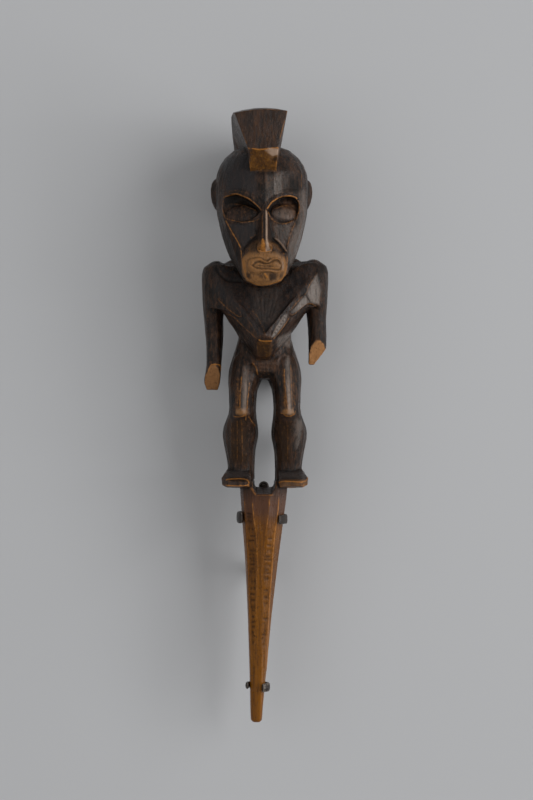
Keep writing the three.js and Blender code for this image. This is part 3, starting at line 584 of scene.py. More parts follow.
LEG_STAINS = [
    # Painted sheen down the thigh streaks
    ("sheen", 0.45, 1.6, [(-14.2, 243), (-12.4, 243), (-11.6, 228), (-13.2, 213), (-15.6, 213),
     (-15.4, 230)]),
    ("sheen", 0.6, 1.6, [(14.6, 250), (16, 250), (17.4, 232), (18.2, 212), (16.4, 212), (14.4, 230)]),
    # Painted highlights down the middle of the thigh streaks
    ("pale", 0.4, 0.7, [(-13.9, 241), (-12.6, 241), (-12, 233), (-13.2, 211), (-14.6, 211),
     (-13.6, 228)], False, 16.0),
    ("pale", 0.4, 0.7, [(14, 246), (15.2, 246), (16.8, 226), (17.5, 210.6), (15.2, 210.6),
     (15.4, 226)], False, 16.0),
    ("worn", 0.3, 1.0, [(-19.4, 236), (-16.4, 236), (-16.8, 214), (-20.4, 214)]),
    ("worn", 0.4, 0.8, [(12, 240), (13.6, 240), (14.6, 215), (12.4, 215)]),
    ("worn", 0.3, 0.8, [(18.2, 236), (20.4, 236), (20.2, 214), (18.6, 214)]),
    ("honey", 0.3, 2.5, LEFT_SHIN),
    ("dark", 0.45, 2.5, LEFT_SHIN),
    ("honey", 0.3, 2.5, RIGHT_SHIN),
    ("dark", 0.45, 2.5, RIGHT_SHIN),
    # Painted sheen on the outer right shin, and faintly on the tops of the feet
    ("sheen", 0.4, 1.8, [(20, 207), (25.6, 207), (25.4, 180), (21, 180)], True),
    ("sheen", 0.12, 0.8, [(-27, 172), (-11, 172), (-11, 168.4), (-25.5, 168)]),
    ("sheen", 0.15, 0.8, [(8.5, 171.6), (29, 171.6), (27, 167.6), (9.5, 167.6)]),
    ("calm", 0.7, 0.8, [(-27, 172.5), (-11, 172.5), (-11, 167.8), (-25.5, 167.4)]),
    ("calm", 0.7, 0.8, [(8.5, 172), (29, 172), (27, 166.6), (9.5, 166.6)]),
]
LEG_LINES = [
    ("ridge", 0.7, 0.25, 0.3, [(-22, 213.3), (-17.1, 213.2), (-12.3, 211.8)]),
    ("ridge", 0.7, 0.25, 0.65, [(-22, 209.7), (-18.5, 208.9), (-14.4, 209.6), (-12.3, 211.5)]),
    ("ridge", 0.7, 0.25, 0.3, [(9.6, 211.5), (12.4, 212.9), (16.5, 213.2), (19.9, 212.5)]),
    ("ridge", 0.7, 0.25, 0.65, [(9.6, 211.5), (12.4, 211), (14.1, 209.6), (16.8, 209.4), (19.9, 211),
     (20.6, 213.9)]),
    ("ridge", 0.5, 0.2, 0.5, [(-18.7, 208.4), (-18.8, 193), (-18.8, 177.1)], 0.1, False),
    ("ridge", 0.5, 0.2, 0.5, [(-15.7, 208.4), (-15.5, 193), (-15.4, 176.5)], 0.1, False),
    ("ridge", 0.5, 0.2, 0.3, [(-22.6, 207), (-22.5, 181.3)], 0.1, False),
    ("ridge", 0.5, 0.2, 0.55, [(-12.3, 211.1), (-9, 205.6), (-6.2, 202)], 0.1, False),
    ("ridge", 0.5, 0.2, 0.6, [(-12.7, 210.5), (-13.1, 206.3)], 0.1, False),
    ("ridge", 0.5, 0.15, 0.4, [(14.4, 207.7), (15.3, 198.7), (15.4, 177.9)]),
    ("ridge", 0.6, 0.15, 0.8, [(-26.7, 166), (-24.3, 166.9), (-15.4, 167.1), (-11.6, 165.9),
     (-10.6, 163.7)], 0.05),
    ("ridge", 0.6, 0.15, 0.8, [(-26.7, 163.5), (-24, 162.7), (-13.7, 162.7), (-10.6, 163.7)], 0.05),
    ("ridge", 0.6, 0.15, 0.8, [(8.3, 164.3), (13.7, 165.6), (26.1, 165.3), (29.3, 168.8)], 0.05),
    ("ridge", 0.6, 0.15, 0.8, [(8.7, 162.5), (13.8, 161.2), (24.4, 160.4), (26.4, 164.5)], 0.05),
]

STAKE_EDGES = [
    [(-14.2, 155), (-13.4, 142), (-12.2, 126.2), (-11.4, 109.2), (-10.4, 77.4), (-9.2, 40)],
    [(-8.8, 152.4), (-7.4, 138.9), (-5.7, 126.4), (-5.4, 109.4), (-5.7, 92.4), (-6.3, 70)],
    [(3, 155.8), (2.4, 144.5), (0.8, 132.1), (-0.4, 120.8), (-2.1, 103.8), (-1.8, 77.7)],
    [(9.5, 156.2), (8.7, 144.3), (7, 131.9), (5.8, 120.6), (3.9, 95.1), (2.7, 77.4), (0.9, 32)],
]
STAKE_WEAR = (0.5, 0.55, 0.5, 0.75)
STAKE_TOP_LINES = [
    ("ridge", 0.6, 0.2, 0.7, [(-10, 161.2), (-8.3, 158.5), (-6.2, 155.3)]),
    ("ridge", 0.6, 0.15, 0.6, [(-6.2, 155.3), (-1.4, 155.7), (4.1, 155.7), (6.9, 155.3)]),
]
# Where the knife chattered across a side of the stake: the side's two edges, the highest and lowest
# mark, and how often a mark is there
CHATTER = [(0, 1, 143.0, 52.0, 0.85), (3, 2, 126.0, 58.0, 0.75)]
STAKE_NICKS = 26

# Dark patches left on the rubbed chin, and how much of the rubbing each one lacks
CHIN_PATCHES = [
    ([(2.2, 304.4), (8.6, 304.6), (8, 300), (3, 299.2)], 0.55),
    ([(-4.4, 303.4), (-1.4, 303.8), (-0.8, 300.6), (-3.8, 300.4)], 0.4),
    ([(10, 304.6), (13, 306), (12, 301.6), (9.6, 300.4)], 0.4),
    ([(-12.4, 305.4), (-9.6, 303.6), (-10, 300.2), (-12.8, 301.6)], 0.5),
    ([(8.6, 320), (12, 318), (13.2, 313.8), (10.4, 315.4)], 0.35),
]
MUZZLE_STAINS = [
    ("handled", 0.38, 1.4, [(-13.6, 319), (-9.4, 325), (-6, 327), (5.6, 327), (9, 324.4), (12.6, 319)]),
    ("worn", 0.5, 0.8, [(-15.4, 315), (-13, 314), (-12.4, 304), (-14.6, 305)]),
]
CHIP = [(2, 387.6), (9, 387), (8.6, 383.6), (5, 382.6), (2.6, 384.4)]
CREST_STAINS = [
    ("handled", 1.0, 0.5, CHIP),
    # Painted highlight over the chip's pale bare wood
    ("pale", 0.9, 0.5, CHIP),
    ("handled", 0.55, 0.7, [(4.6, 377.8), (6.8, 377.8), (6.8, 375.8), (4.6, 375.8)]),
    ("dark", 0.9, 0.6, [(5.2, 381.9), (8.4, 382), (8.2, 379.6), (5.6, 379.4)]),
]
# The broken ends of the arms: three points of each flat break, and how bare its wood is
BREAKS = [
    ([(-40.0, 244.5, 14.2), (-30.0, 244.5, 14.2), (-36.0, 227.0, 3.5)], 0.72),
    ([(41.0, 262.0, 11.4), (31.0, 259.5, 11.4), (35.0, 244.0, 3.0)], 1.0),
    ([(41.2, 254.5, 10.0), (41.2, 254.5, 0.0), (32.4, 243.0, 10.0)], 1.0),
]
# How strongly edges are rubbed through: from this height up the carving
EDGE_WEAR = [
    (0, 0.5), (156, 0.7), (168, 0.25), (205, 0.4), (216, 0.25), (250, 0.2), (296, 0.2), (320, 0.4),
    (345, 0.15), (371, 0.15), (374, 0.6), (386, 0.6), (420, 0.5),
]


def work_through(wood, rows):
    """Cuts the lines and paints the stains of a table, in its order."""
    for name, *row in rows:
        if name in ("ridge", "groove"):
            width, size, strength, path, *more = row
            getattr(wood, name)(path, width, size, strength, *more)
        else:
            strength, soft, corners, *more = row
            wood.stain(name, corners, strength, soft, *more)


def round_over(wood):
    """Wears the arms and shoulders round, the legs less, and the head and stake least."""
    x, height = wood.points[:, :2].T
    breaks = np.where(x < 0, 248.0, 264.0)
    arms = eased(np.abs(x), 20, 28) * between(height, breaks, breaks + 5, 318, 324)
    chest = between(height, 262, 272, 312, 318) * (1 - eased(x, -8, 2)) * 0.8
    legs = 0.35 * between(height, 170, 180, 244, 252)
    softness = np.maximum(np.maximum(arms, chest), legs)
    wood.smoothed(26, np.maximum(softness, 0.05), swell=0.0)


def carve_head(wood):
    wood.strips(FOREHEAD, FOREHEAD_KNOTS, FOREHEAD_LIFTS)
    work_through(wood, FOREHEAD_STAINS + FOREHEAD_LINES)
    wood.look()
    work_through(wood, SOCKET_STAINS)
    for rim, worn in zip(BROWS, (0.75, 0.9)):
        wood.ridge(rim, 0.6, 0.3, worn, taper=0.04)
    for top in BROW_TOPS:
        wood.groove(top, 0.7, 0.15, 0.5)
        wood.ridge([(x + 0.1, height + 0.9) for x, height in top], 0.5, 0.12, 0.25)
    for rim in LOWER_RIMS:
        wood.ridge(rim, 0.6, 0.2, 0.5, taper=0.03)
    for lid in LIDS:
        wood.ridge(lid, 0.6, 0.25, 0.4)
    # Painted light: a lighter rubbed colour on the floor of the right socket, against the shadow there
    wood.stain("rubbed", RIGHT_EYE, 0.9, 1.0)
    work_through(wood, NOSE_WORK)
    for middle in NOSTRILS:
        wood.swell(middle, 2.3, 0.9)
    work_through(wood, NOSTRIL_WORK)
    for cheek in CHEEKS:
        wood.facet(cheek, share=0.6)
    work_through(wood, CHEEK_WORK)
    wood.step(CHEEK_LEDGE, width=4.0, depth=1.2, dark=1.0, worn=0.35)
    wood.ridge(CHEEK_LEDGE_TOP, 0.5, 0.15, 0.0)
    # A painted glint along the top of the ledge
    wood.stain("pale", CHEEK_LEDGE_GLINT, 0.5, 0.35)


def carve_muzzle(wood):
    wood.ridge(MUZZLE_EDGE, 0.6, 0.15, 0.7, taper=0.03)
    rim = curve_through(LIP_RIM + LIP_RIM[:1], 4)[:-1]
    hollow = curve_through(LIP_HOLLOW + LIP_HOLLOW[:1], 4)[:-1]
    lips = curve_through(UPPER_LIP + LOWER_LIP[::-1], 4)
    # The hollow inside the lips gets a faint painted shade
    for outline, soft, lift, dark in ((rim, 0.7, 0.7, 0), (hollow, 0.45, -1.4, 0.1), (lips, 0.7, 0.8, 0)):
        index, weight = wood.within(outline, soft)
        wood.push(index, lift * weight)
        wood.mark("dark", index, dark * weight)
    wood.look()
    wood.groove(np.vstack([rim, rim[:1]]), 0.7, 0.2, 0.2, taper=0.0, smooth=False)
    work_through(wood, MOUTH_WORK)


def carve_body(wood):
    wood.groove(COLLAR, 1.5, 0.7, 0.8)
    wood.facet(SHOULDER_FACET, turn=(0.25, -0.05), share=0.8, soft=1.2)
    wood.facet(BREAST_FACET, turn=(0.2, 0.0), share=0.8)
    work_through(wood, BREAST_STAINS)
    wood.ridge(BEVEL_EDGE, 0.7, 0.25, 0.45)
    wood.step(BREAST_LEDGE, width=4.5, depth=1.3, dark=1.0, worn=0.75)
    work_through(wood, BREAST_LINES)
    for x, height in np.linspace(*BREAST_NICKS):
        wood.groove([(x - 0.8, height + 0.2), (x + 0.7, height - 0.6)], 0.6, 0.3, 0.8, smooth=False)
    wood.ridge(BREAST_TIP, 0.7, 0.3, 1.0, taper=0.05)
    for x in BREAST_FIBRES:
        wood.groove([(x, 293.0), (0.55 * x - 0.3, 278.0), (0.12 * x - 0.6, 264.0)], 0.9, 0.2, 0.3)
    work_through(wood, LOIN_WORK)


def carve_legs(wood):
    for thigh in THIGHS:
        wood.facet(thigh, turn=(-0.1, 0.0), share=0.8)
    work_through(wood, THIGH_LINES + LEG_STAINS + LEG_LINES)


def carve_stake(wood):
    for line, worn in zip(STAKE_EDGES, STAKE_WEAR):
        wood.ridge(line, 0.6, 0.2, worn, taper=0.04)
    work_through(wood, STAKE_TOP_LINES)
    rng = np.random.default_rng(11)
    for outer, inner, top, bottom, chance in CHATTER:
        edges = [curve_through(STAKE_EDGES[side]) for side in (outer, inner)]
        height = top
        while height > bottom:
            reach = [np.interp(height, edge[::-1, 1], edge[::-1, 0]) for edge in edges]
            near, far = rng.uniform(0.02, 0.25, 2)
            start, end = np.interp((near, 1 - far), (0, 1), reach)
            if rng.random() < chance:
                tilt = rng.uniform(-0.5, 0.5)
                path = sorted([(start, height), (end, height + tilt)])
                wood.groove(path, rng.uniform(0.9, 2.8), 0.4, rng.uniform(0.15, 0.6), 0.25, smooth=False)
            height -= rng.uniform(2.0, 5.4)
    for _ in range(STAKE_NICKS):
        height = rng.uniform(45.0, 82.0)
        x = rng.uniform(-8.0, 1.0)
        wood.groove([(x, height), (x + rng.uniform(0.5, 1.1), height)], 0.6, 0.25, 0.7, smooth=False)


def paint_wear(wood):
    """The masks that follow the form: worn edges, painted shade in creases and hollows, and the colour of
    the stake.
    """
    x, height = wood.points[:, :2].T
    edge = wood.curvature(4)
    wide_edge = wood.curvature(40)
    left_of_crest = (x < 0) * (height > 388.0)
    strength = np.interp(height, *np.array(EDGE_WEAR).T) * (1 - 0.5 * left_of_crest)
    patchy = eased(wavy(wood.points, 6.0, seed=4), -0.35, 0.35)
    wood.mark("worn", EVERY, eased(edge, 0.05, 0.13) * strength * (0.35 + 0.65 * patchy))
    # Painted shade in narrow creases and broad hollows
    wood.mark("dark", EVERY, 0.7 * eased(-edge, 0.03, 0.12))
    wood.mark("dark", EVERY, 0.8 * eased(-wide_edge, 0.15, 0.9))
    wood.mark("rubbed", EVERY, eased(wide_edge, 0.25, 1.1))
    wood.mark("stake", EVERY, 1 - eased(height + 4 * wavy(wood.points, 9.0, seed=3), 136.0, 152.0))
    wood.mark("ruddy", EVERY, between(height, 132.0, 148.0, 150.0, 166.0))
    wood.mark("amber", EVERY, 1 - eased(height, 45.0, 125.0))


def break_arms(wood):
    """Bares and roughens the broken ends of the arms."""
    x, height = wood.points[:, :2].T
    for corners, bareness in BREAKS:
        one, two, three = np.array(corners)
        across = np.cross(two - one, three - one)
        across *= np.sign(across[2] or across[0]) / np.linalg.norm(across)
        away = np.abs((wood.points - one) @ across)
        near = (np.abs(height - 248.0) < 24) & (np.sign(x) == np.sign(one[0])) & (np.abs(x) > 27)
        bare = near * eased(-away, -0.7, -0.3) * eased(wood.normals @ across, 0.75, 0.92)
        wood.mark("raw", EVERY, bareness * bare)
        wood.push(EVERY, 0.22 * bare * wavy(wood.points, 1.6, seed=9))


def paint_handling(wood):
    """The masks of what hands have rubbed: muzzle, knees, toes, nose and crest."""
    x, height, out = wood.points.T
    corner = np.abs((x + 0.6) / 15.6) ** 3.2 + np.abs((height - 308.4) / 12.6) ** 3.2
    below_nose = 1 - 0.6 * eased(height + 1.5 * wavy(wood.points, 4.0, seed=6), 313.0, 320.0)
    muzzle = eased(1 - corner, -0.05, 0.35) * wood.front() * (out > 30) * below_nose
    wood.mark("handled", EVERY, 0.95 * muzzle)
    work_through(wood, MUZZLE_STAINS)
    for patch, share in CHIN_PATCHES:
        wood.wipe("handled", patch, share)
    knees = bell(height - 212.4, 2.6) * eased(-np.abs(np.abs(x) - 16.2), -7, -2)
    wood.mark("handled", EVERY, 0.9 * knees * wood.front(0.5, 0.9))
    toes = eased(-np.abs(height - 164.2), -3.2, -2.4) * (out > 20) * (x > 8)
    wood.mark("handled", EVERY, 0.45 * toes)
    nose = eased(-np.abs(x + 0.3), -5.5, -3.0) * eased(-np.abs(height - 321.0), -5.0, -2.0) * (out > 40)
    wood.mark("honey", EVERY, 0.8 * nose)
    crest_foot = between(height, 372.5, 373.5, 386.6, 387.4) * (out > 36) * (np.abs(x) < 10)
    wood.mark("honey", EVERY, crest_foot * wood.front())
    crest = eased(height, 386.6, 388.0) * wood.front(0.4, 0.8)
    wood.mark("calm", EVERY, 0.2 * crest)
    wood.mark("rubbed", EVERY, 0.45 * crest)
    work_through(wood, CREST_STAINS)


# Millimetres between the vertices of the new meshes, and how many triangles each piece keeps
FIGURE_VOXEL = 0.5
BRACKET_VOXEL = 0.35
FIGURE_TRIANGLES = 194000
BRACKET_TRIANGLES = 60000
# The sides of the cells that the knife's long cuts fill, in millimetres
KNIFE_CELL = (5.5, 19.0, 5.5)


def remeshed(piece, voxel):
    finished(piece, "REMESH", mode="VOXEL", voxel_size=voxel * MM, adaptivity=0.0)


def thinned(piece, triangles):
    """Fewer triangles, kept where the shape needs them, and smooth shading."""
    finished(piece, "DECIMATE", ratio=min(1.0, triangles / (2 * len(piece.data.polygons))))
    bpy.ops.object.shade_smooth()


def make_figure():
    piece = copied("deity_figure", "carved_figure")
    remeshed(piece, FIGURE_VOXEL)
    wood = Wood(piece)
    wood.smoothed(3)
    round_over(wood)
    x, height, out = wood.points.T
    body = eased(height, 156, 164) * (1 - 0.8 * eased(height, 372, 378))
    face = wood.front() * between(height, 298, 304, 358, 362) * (out > 24)
    wood.knife_cuts(body * (1 - face), KNIFE_CELL, depth=0.3, seed=5)
    wood.look()
    for cut in (carve_head, carve_muzzle, carve_body, carve_legs, carve_stake):
        cut(wood)
        wood.look()
    wood.smoothed(1)
    paint_wear(wood)
    break_arms(wood)
    paint_handling(wood)
    wood.kept_in("deity_figure")
    wood.keep_marks()
    thinned(piece, FIGURE_TRIANGLES)
    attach(piece, "root")
    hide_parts("deity_figure")
    return piece


def make_bracket():
    piece = copied("display_bracket", "black_bracket")
    remeshed(piece, BRACKET_VOXEL)
    metal = Wood(piece)
    metal.smoothed(2)
    # The clips reach out past the rod, and their ends are rounder
    clips = eased(np.abs(metal.points[:, 0]), 4.0, 7.0)
    metal.smoothed(90, clips, swell=0.0)
    metal.points += metal.normals * (0.05 * wavy(metal.points, 2.4, seed=8))[:, None]
    metal.kept_in("display_bracket")
    metal.mark("worn", EVERY, eased(metal.curvature(6), 0.03, 0.12))
    metal.keep_marks()
    thinned(piece, BRACKET_TRIANGLES)
    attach(piece, "root")
    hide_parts("display_bracket")
    return piece


class Nodes:
    """Adds nodes to a tree and joins their sockets."""

    def __init__(self, tree):
        self.tree = tree

    def feed(self, node, sockets):
        """Joins another node's output to each socket of a node, or gives it a plain value."""
        for key, value in sockets.items():
            if isinstance(value, bpy.types.NodeSocket):
                self.tree.links.new(value, node.inputs[key])
            else:
                node.inputs[key].default_value = value

    def add(self, kind, sockets=None, **settings):
        node = self.tree.nodes.new(kind)
        for key, value in settings.items():
            setattr(node, key, value)
        self.feed(node, sockets or {})
        return node

    def mix(self, share, low, high):
        sockets = {0: share, 6: low, 7: high}
        return self.add("ShaderNodeMix", sockets, data_type="RGBA", clamp_factor=True).outputs[2]

    def layered(self, tone, *layers):
        """Mixes more colours over a tone, each by a mask or the name of a painted one, and its strength."""
        for mask, strength, over in layers:
            mask = self.painted(mask) if isinstance(mask, str) else mask
            tone = self.mix(self.math("MULTIPLY", mask, strength), tone, over)
        return tone

    def math(self, operation, *values):
        return self.add("ShaderNodeMath", dict(enumerate(values)), operation=operation).outputs[0]

    def ramp(self, value, low, high, to_low=0.0, to_high=1.0):
        sockets = {"Value": value, 1: low, 2: high, 3: to_low, 4: to_high}
        return self.add("ShaderNodeMapRange", sockets, interpolation_type="SMOOTHSTEP").outputs[0]

    def noise(self, vector, scale, detail=4.0, roughness=0.6):
        sockets = {"Vector": vector, "Scale": scale, "Detail": detail, "Roughness": roughness}
        return self.add("ShaderNodeTexNoise", sockets).outputs[0]

    def stretched(self, vector, scale):
        return self.add("ShaderNodeMapping", {"Vector": vector, "Scale": scale}).outputs[0]

    def painted(self, name):
        return self.add("ShaderNodeAttribute", attribute_name=name, attribute_type="GEOMETRY").outputs["Fac"]


def colour(red, green, blue):
    """A colour given from 0 to 255 as a screen shows it."""
    linear = [((v / 255 + 0.055) / 1.055) ** 2.4 if v > 10 else v / 255 / 12.92 for v in (red, green, blue)]
    return (*linear, 1.0)


def new_group(name, inputs, outputs):
    tree = bpy.data.node_groups.new(name, "ShaderNodeTree")
    kinds = {"value": "NodeSocketFloat", "vector": "NodeSocketVector"}
    for label, kind in inputs:
        tree.interface.new_socket(label, in_out="INPUT", socket_type=kinds[kind])
    for label, kind in outputs:
        tree.interface.new_socket(label, in_out="OUTPUT", socket_type=kinds[kind])
    return tree


def wood_grain_group():
    """Fibres that run up the carving: fine streaks, broad bands and short pores."""
    tree = new_group(
        "wood_grain",
        [("Vector", "vector"), ("Scale", "value")],
        [("Streaks", "value"), ("Bands", "value"), ("Pores", "value")],
    )
    nodes = Nodes(tree)
    given = nodes.add("NodeGroupInput").outputs
    turned = nodes.stretched(given["Vector"], (1.0, 0.045, 1.0))
    sockets = {0: turned, "Scale": given["Scale"]}
    scaled = nodes.add("ShaderNodeVectorMath", sockets, operation="SCALE").outputs[0]
    streaks = nodes.ramp(nodes.noise(scaled, 560.0, 7.0, 0.75), 0.46, 0.64)
    bands = nodes.ramp(nodes.noise(scaled, 190.0, 4.0, 0.6), 0.38, 0.64)
    short = nodes.stretched(given["Vector"], (1.0, 0.12, 1.0))
    pores = nodes.ramp(nodes.noise(short, 1300.0, 3.0, 0.6), 0.56, 0.68)
    nodes.add("NodeGroupOutput", {"Streaks": streaks, "Bands": bands, "Pores": pores})
    return tree


def worn_edges_group():
    """Breaks up a painted edge mask, so that the wear is patchy."""
    tree = new_group(
        "worn_edges",
        [("Vector", "vector"), ("Mask", "value"), ("Scale", "value"), ("Breakup", "value")],
        [("Mask", "value")],
    )
    nodes = Nodes(tree)
    given = nodes.add("NodeGroupInput").outputs
    patches = nodes.noise(given["Vector"], given["Scale"], 5.0, 0.7)
    centred = nodes.math("SUBTRACT", patches, 0.5)
    shifted = nodes.math("MULTIPLY_ADD", centred, given["Breakup"], given["Mask"])
    nodes.add("NodeGroupOutput", {"Mask": nodes.ramp(shifted, 0.15, 0.9)})
    return tree


WOOD_GRAIN = wood_grain_group()
WORN_EDGES = worn_edges_group()


def broken_up(nodes, where, mask, scale, breakup):
    """A painted mask in patches."""
    sockets = {"Vector": where, "Mask": nodes.painted(mask), "Scale": scale, "Breakup": breakup}
    return nodes.add("ShaderNodeGroup", sockets, node_tree=WORN_EDGES).outputs["Mask"]


def new_material(name):
    material = bpy.data.materials.new(name)
    material.use_nodes = True
    nodes = Nodes(material.node_tree)
    shader = material.node_tree.nodes["Principled BSDF"]
    where = nodes.add("ShaderNodeTexCoord").outputs["Object"]
    return material, nodes, shader, where


# The colours of the dark patina, and of what lies over it
BLACK_PATINA = colour(16, 12, 10)
BROWN_PATINA = colour(68, 47, 35)
ASH_PATINA = colour(56, 48, 44)
RUBBED_PATINA_AND_PAINTED_LIGHT = colour(104, 72, 50)
FLECKED_PATINA = colour(112, 76, 48)
STREAK_BLACK = colour(12, 9, 8)
PIT_BLACK = colour(10, 7, 6)
CALM_PATINA = colour(43, 40, 41)
# The stake, and the ruddy wood above it
STAKE_WOOD = colour(128, 77, 8)
STAKE_BAND = colour(98, 56, 10)
STAKE_STREAK = colour(66, 36, 10)
STAKE_PIT = colour(54, 28, 10)
AMBER_WOOD = colour(152, 94, 8)
RUDDY_WOOD = colour(96, 62, 42)
RUDDY_STREAK = colour(58, 38, 30)
# Wood that shows its own colour, by what has bared it
HONEY_WOOD = colour(104, 66, 22)
HONEY_CLOUD = colour(58, 34, 12)
HONEY_FLECK = colour(142, 96, 32)
HONEY_PIT = colour(36, 22, 12)
HANDLED_WOOD = colour(142, 100, 58)
HANDLED_FLECK = colour(88, 60, 38)
HANDLED_ASH = colour(154, 124, 98)
HANDLED_PIT = colour(58, 40, 28)
WORN_WOOD = colour(172, 112, 48)
RAW_WOOD = colour(172, 122, 76)
RAW_PORE = colour(120, 82, 52)
# Painted sheen, pale wood with painted highlights, and painted shade over all of it
PAINTED_SHEEN_GREY = colour(142, 131, 123)
PALE_WOOD_AND_HIGHLIGHT = colour(176, 150, 130)
DEEP_SHADE = colour(12, 8, 6)
# The bracket and the floor
STEEL_BLACK = colour(28, 23, 20)
STEEL_BROWN = colour(60, 48, 39)
STEEL_WORN = colour(120, 110, 100)
FLOOR_GREY = colour(203, 204, 206)


def old_wood():
    """Dark handled wood: black-brown patina, worn to orange on its edges, amber on the stake; painted sheen,
    highlights and shade over it.
    """
    material, nodes, shader, where = new_material("old_wood")
    grain = nodes.add("ShaderNodeGroup", {"Vector": where, "Scale": 1.0}, node_tree=WOOD_GRAIN).outputs
    drawn_out = nodes.stretched(where, (1.0, 0.3, 1.0))
    clouds = nodes.ramp(nodes.noise(drawn_out, 190.0, 8.0, 0.85), 0.42, 0.6)
    ashes = nodes.ramp(nodes.noise(where, 140.0, 6.0, 0.75), 0.52, 0.74)
    flecks = nodes.ramp(nodes.noise(drawn_out, 560.0, 6.0, 0.8), 0.53, 0.6)
    pits = nodes.ramp(nodes.noise(where, 700.0, 3.0, 0.7), 0.58, 0.66)
    patina = nodes.layered(
        nodes.mix(clouds, BLACK_PATINA, BROWN_PATINA),
        (ashes, 0.35, ASH_PATINA),
        ("rubbed", 0.45, RUBBED_PATINA_AND_PAINTED_LIGHT),
        (flecks, 0.4, FLECKED_PATINA),
        (grain["Streaks"], 0.75, STREAK_BLACK),
        (pits, 0.6, PIT_BLACK),
        ("calm", 1.0, CALM_PATINA),
    )
    stake = nodes.layered(
        nodes.mix(grain["Bands"], STAKE_WOOD, STAKE_BAND),
        ("amber", 0.38, AMBER_WOOD),
        (grain["Streaks"], 0.6, STAKE_STREAK),
        (pits, 0.5, STAKE_PIT),
    )
    ruddy = nodes.layered(RUDDY_WOOD, (grain["Streaks"], 0.4, RUDDY_STREAK))
    honey = nodes.layered(
        HONEY_WOOD, (clouds, 0.75, HONEY_CLOUD), (flecks, 0.6, HONEY_FLECK), (pits, 0.5, HONEY_PIT)
    )
    palm = nodes.layered(
        HANDLED_WOOD, (flecks, 0.55, HANDLED_FLECK), (ashes, 0.5, HANDLED_ASH), (pits, 0.45, HANDLED_PIT)
    )
    # The painted sheen: a grey highlight painted where planes face the lights, broken up by flecks and
    # streaks
    broken = nodes.ramp(nodes.math("ADD", flecks, grain["Streaks"]), 0.2, 1.4, 0.85, 0.25)
    painted_gleam = nodes.math("MULTIPLY", nodes.painted("sheen"), broken)
    tone = nodes.layered(
        patina,
        ("stake", 1.0, stake),
        ("ruddy", 1.0, ruddy),
        ("honey", 1.0, honey),
        (broken_up(nodes, where, "handled", 160.0, 0.7), 1.0, palm),
        (broken_up(nodes, where, "worn", 520.0, 1.2), 1.0, WORN_WOOD),
        (painted_gleam, 1.0, PAINTED_SHEEN_GREY),
        ("pale", 1.0, PALE_WOOD_AND_HIGHLIGHT),
        ("dark", 0.9, DEEP_SHADE),
        ("raw", 1.0, nodes.mix(grain["Pores"], RAW_WOOD, RAW_PORE)),
    )
    nodes.tree.links.new(tone, shader.inputs["Base Color"])
    shader.inputs["Specular IOR Level"].default_value = 0.22
    rough = nodes.ramp(nodes.noise(where, 130.0, 4.0, 0.6), 0.3, 0.75, 0.26, 0.44)
    for mask, rougher in (("raw", 0.4), ("dark", 0.3), ("sheen", -0.1)):
        rough = nodes.math("MULTIPLY_ADD", nodes.painted(mask), rougher, rough)
    nodes.tree.links.new(rough, shader.inputs["Roughness"])
    fibres = nodes.math("MULTIPLY_ADD", grain["Pores"], -0.6, nodes.math("MULTIPLY", grain["Streaks"], -0.5))
    fibres = nodes.math("MULTIPLY_ADD", pits, -0.8, fibres)
    bump = nodes.add("ShaderNodeBump", {"Strength": 0.6, "Distance": 0.0003, "Height": fibres})
    nodes.tree.links.new(bump.outputs[0], shader.inputs["Normal"])
    return material


def black_metal():
    """Blackened steel, rubbed brighter along its edges."""
    material, nodes, shader, where = new_material("black_metal")
    clouds = nodes.ramp(nodes.noise(where, 260.0, 5.0, 0.65), 0.35, 0.7)
    worn = broken_up(nodes, where, "worn", 500.0, 1.0)
    tone = nodes.mix(worn, nodes.mix(clouds, STEEL_BLACK, STEEL_BROWN), STEEL_WORN)
    nodes.tree.links.new(tone, shader.inputs["Base Color"])
    shader.inputs["Metallic"].default_value = 0.35
    rough = nodes.ramp(clouds, 0.0, 1.0, 0.34, 0.52)
    nodes.tree.links.new(rough, shader.inputs["Roughness"])
    grit = nodes.noise(where, 1600.0)
    bump = nodes.add("ShaderNodeBump", {"Strength": 0.3, "Distance": 0.0001, "Height": grit})
    nodes.tree.links.new(bump.outputs[0], shader.inputs["Normal"])
    return material


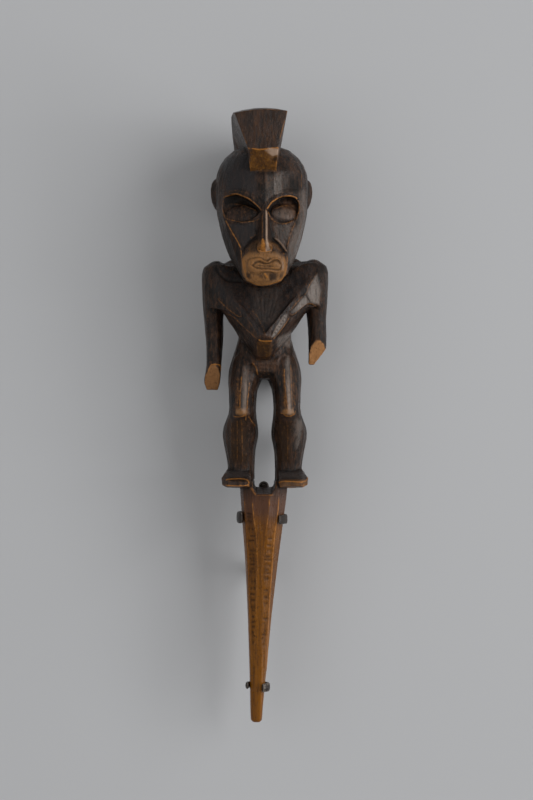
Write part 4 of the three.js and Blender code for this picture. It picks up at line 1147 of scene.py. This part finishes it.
def pale_floor():
    material = bpy.data.materials.new("pale_floor")
    material.use_nodes = True
    shader = material.node_tree.nodes["Principled BSDF"]
    shader.inputs["Base Color"].default_value = FLOOR_GREY
    shader.inputs["Roughness"].default_value = 0.9
    shader.inputs["Specular IOR Level"].default_value = 0.1
    return material


def dressed(piece, material):
    piece.data.materials.clear()
    piece.data.materials.append(material)
    return piece


# The camera's place in the carver's measures, and its view: the picture's height and the size of a radian
CAMERA_AT = (1.0, 220.2, 1600.0)
SENSOR = 36.0
FRAME_HEIGHT = 800.0
PIXELS_PER_RADIAN = 2339.0

FLOOR_SIZE = 8.0

# Each soft light: its name, place, side and power. All face one point of the figure.
LAMPS = [
    ("key_softbox", (3.1, 1.1, 2.5), 2.6, 68.0),
    ("side_softbox", (2.5, -0.3, 0.9), 1.2, 16.0),
    ("left_fill", (-1.9, 0.3, 2.5), 3.0, 15.0),
]
LIT_POINT = (0.0, 0.05, 0.04)
WORLD_LIGHT = 0.31


def make_camera():
    bpy.ops.object.camera_add(location=place(*CAMERA_AT), rotation=(0, 0, 0))
    camera = bpy.context.object
    camera.data.sensor_width = SENSOR
    camera.data.lens = SENSOR * PIXELS_PER_RADIAN / FRAME_HEIGHT
    camera.data.dof.use_dof = False
    bpy.context.scene.camera = camera


def make_floor():
    bpy.ops.mesh.primitive_plane_add(size=FLOOR_SIZE)
    floor = bpy.context.object
    floor.name = "floor"
    dressed(floor, pale_floor())


def make_light():
    for name, location, side, power in LAMPS:
        bpy.ops.object.light_add(type="AREA", location=location)
        light = bpy.context.object
        light.name = name
        light.data.shape = "RECTANGLE"
        light.data.size = light.data.size_y = side
        light.data.energy = power
        away = Vector(location) - Vector(LIT_POINT)
        light.rotation_euler = away.to_track_quat("Z", "Y").to_euler()
    world = bpy.context.scene.world or bpy.data.worlds.new("studio")
    bpy.context.scene.world = world
    world.use_nodes = True
    back = world.node_tree.nodes["Background"]
    back.inputs["Color"].default_value = (1.0, 1.0, 1.0, 1.0)
    back.inputs["Strength"].default_value = WORLD_LIGHT
    bpy.context.scene.view_settings.view_transform = "Standard"


make_camera()
dressed(make_figure(), old_wood())
dressed(make_bracket(), black_metal())
make_floor()
make_light()
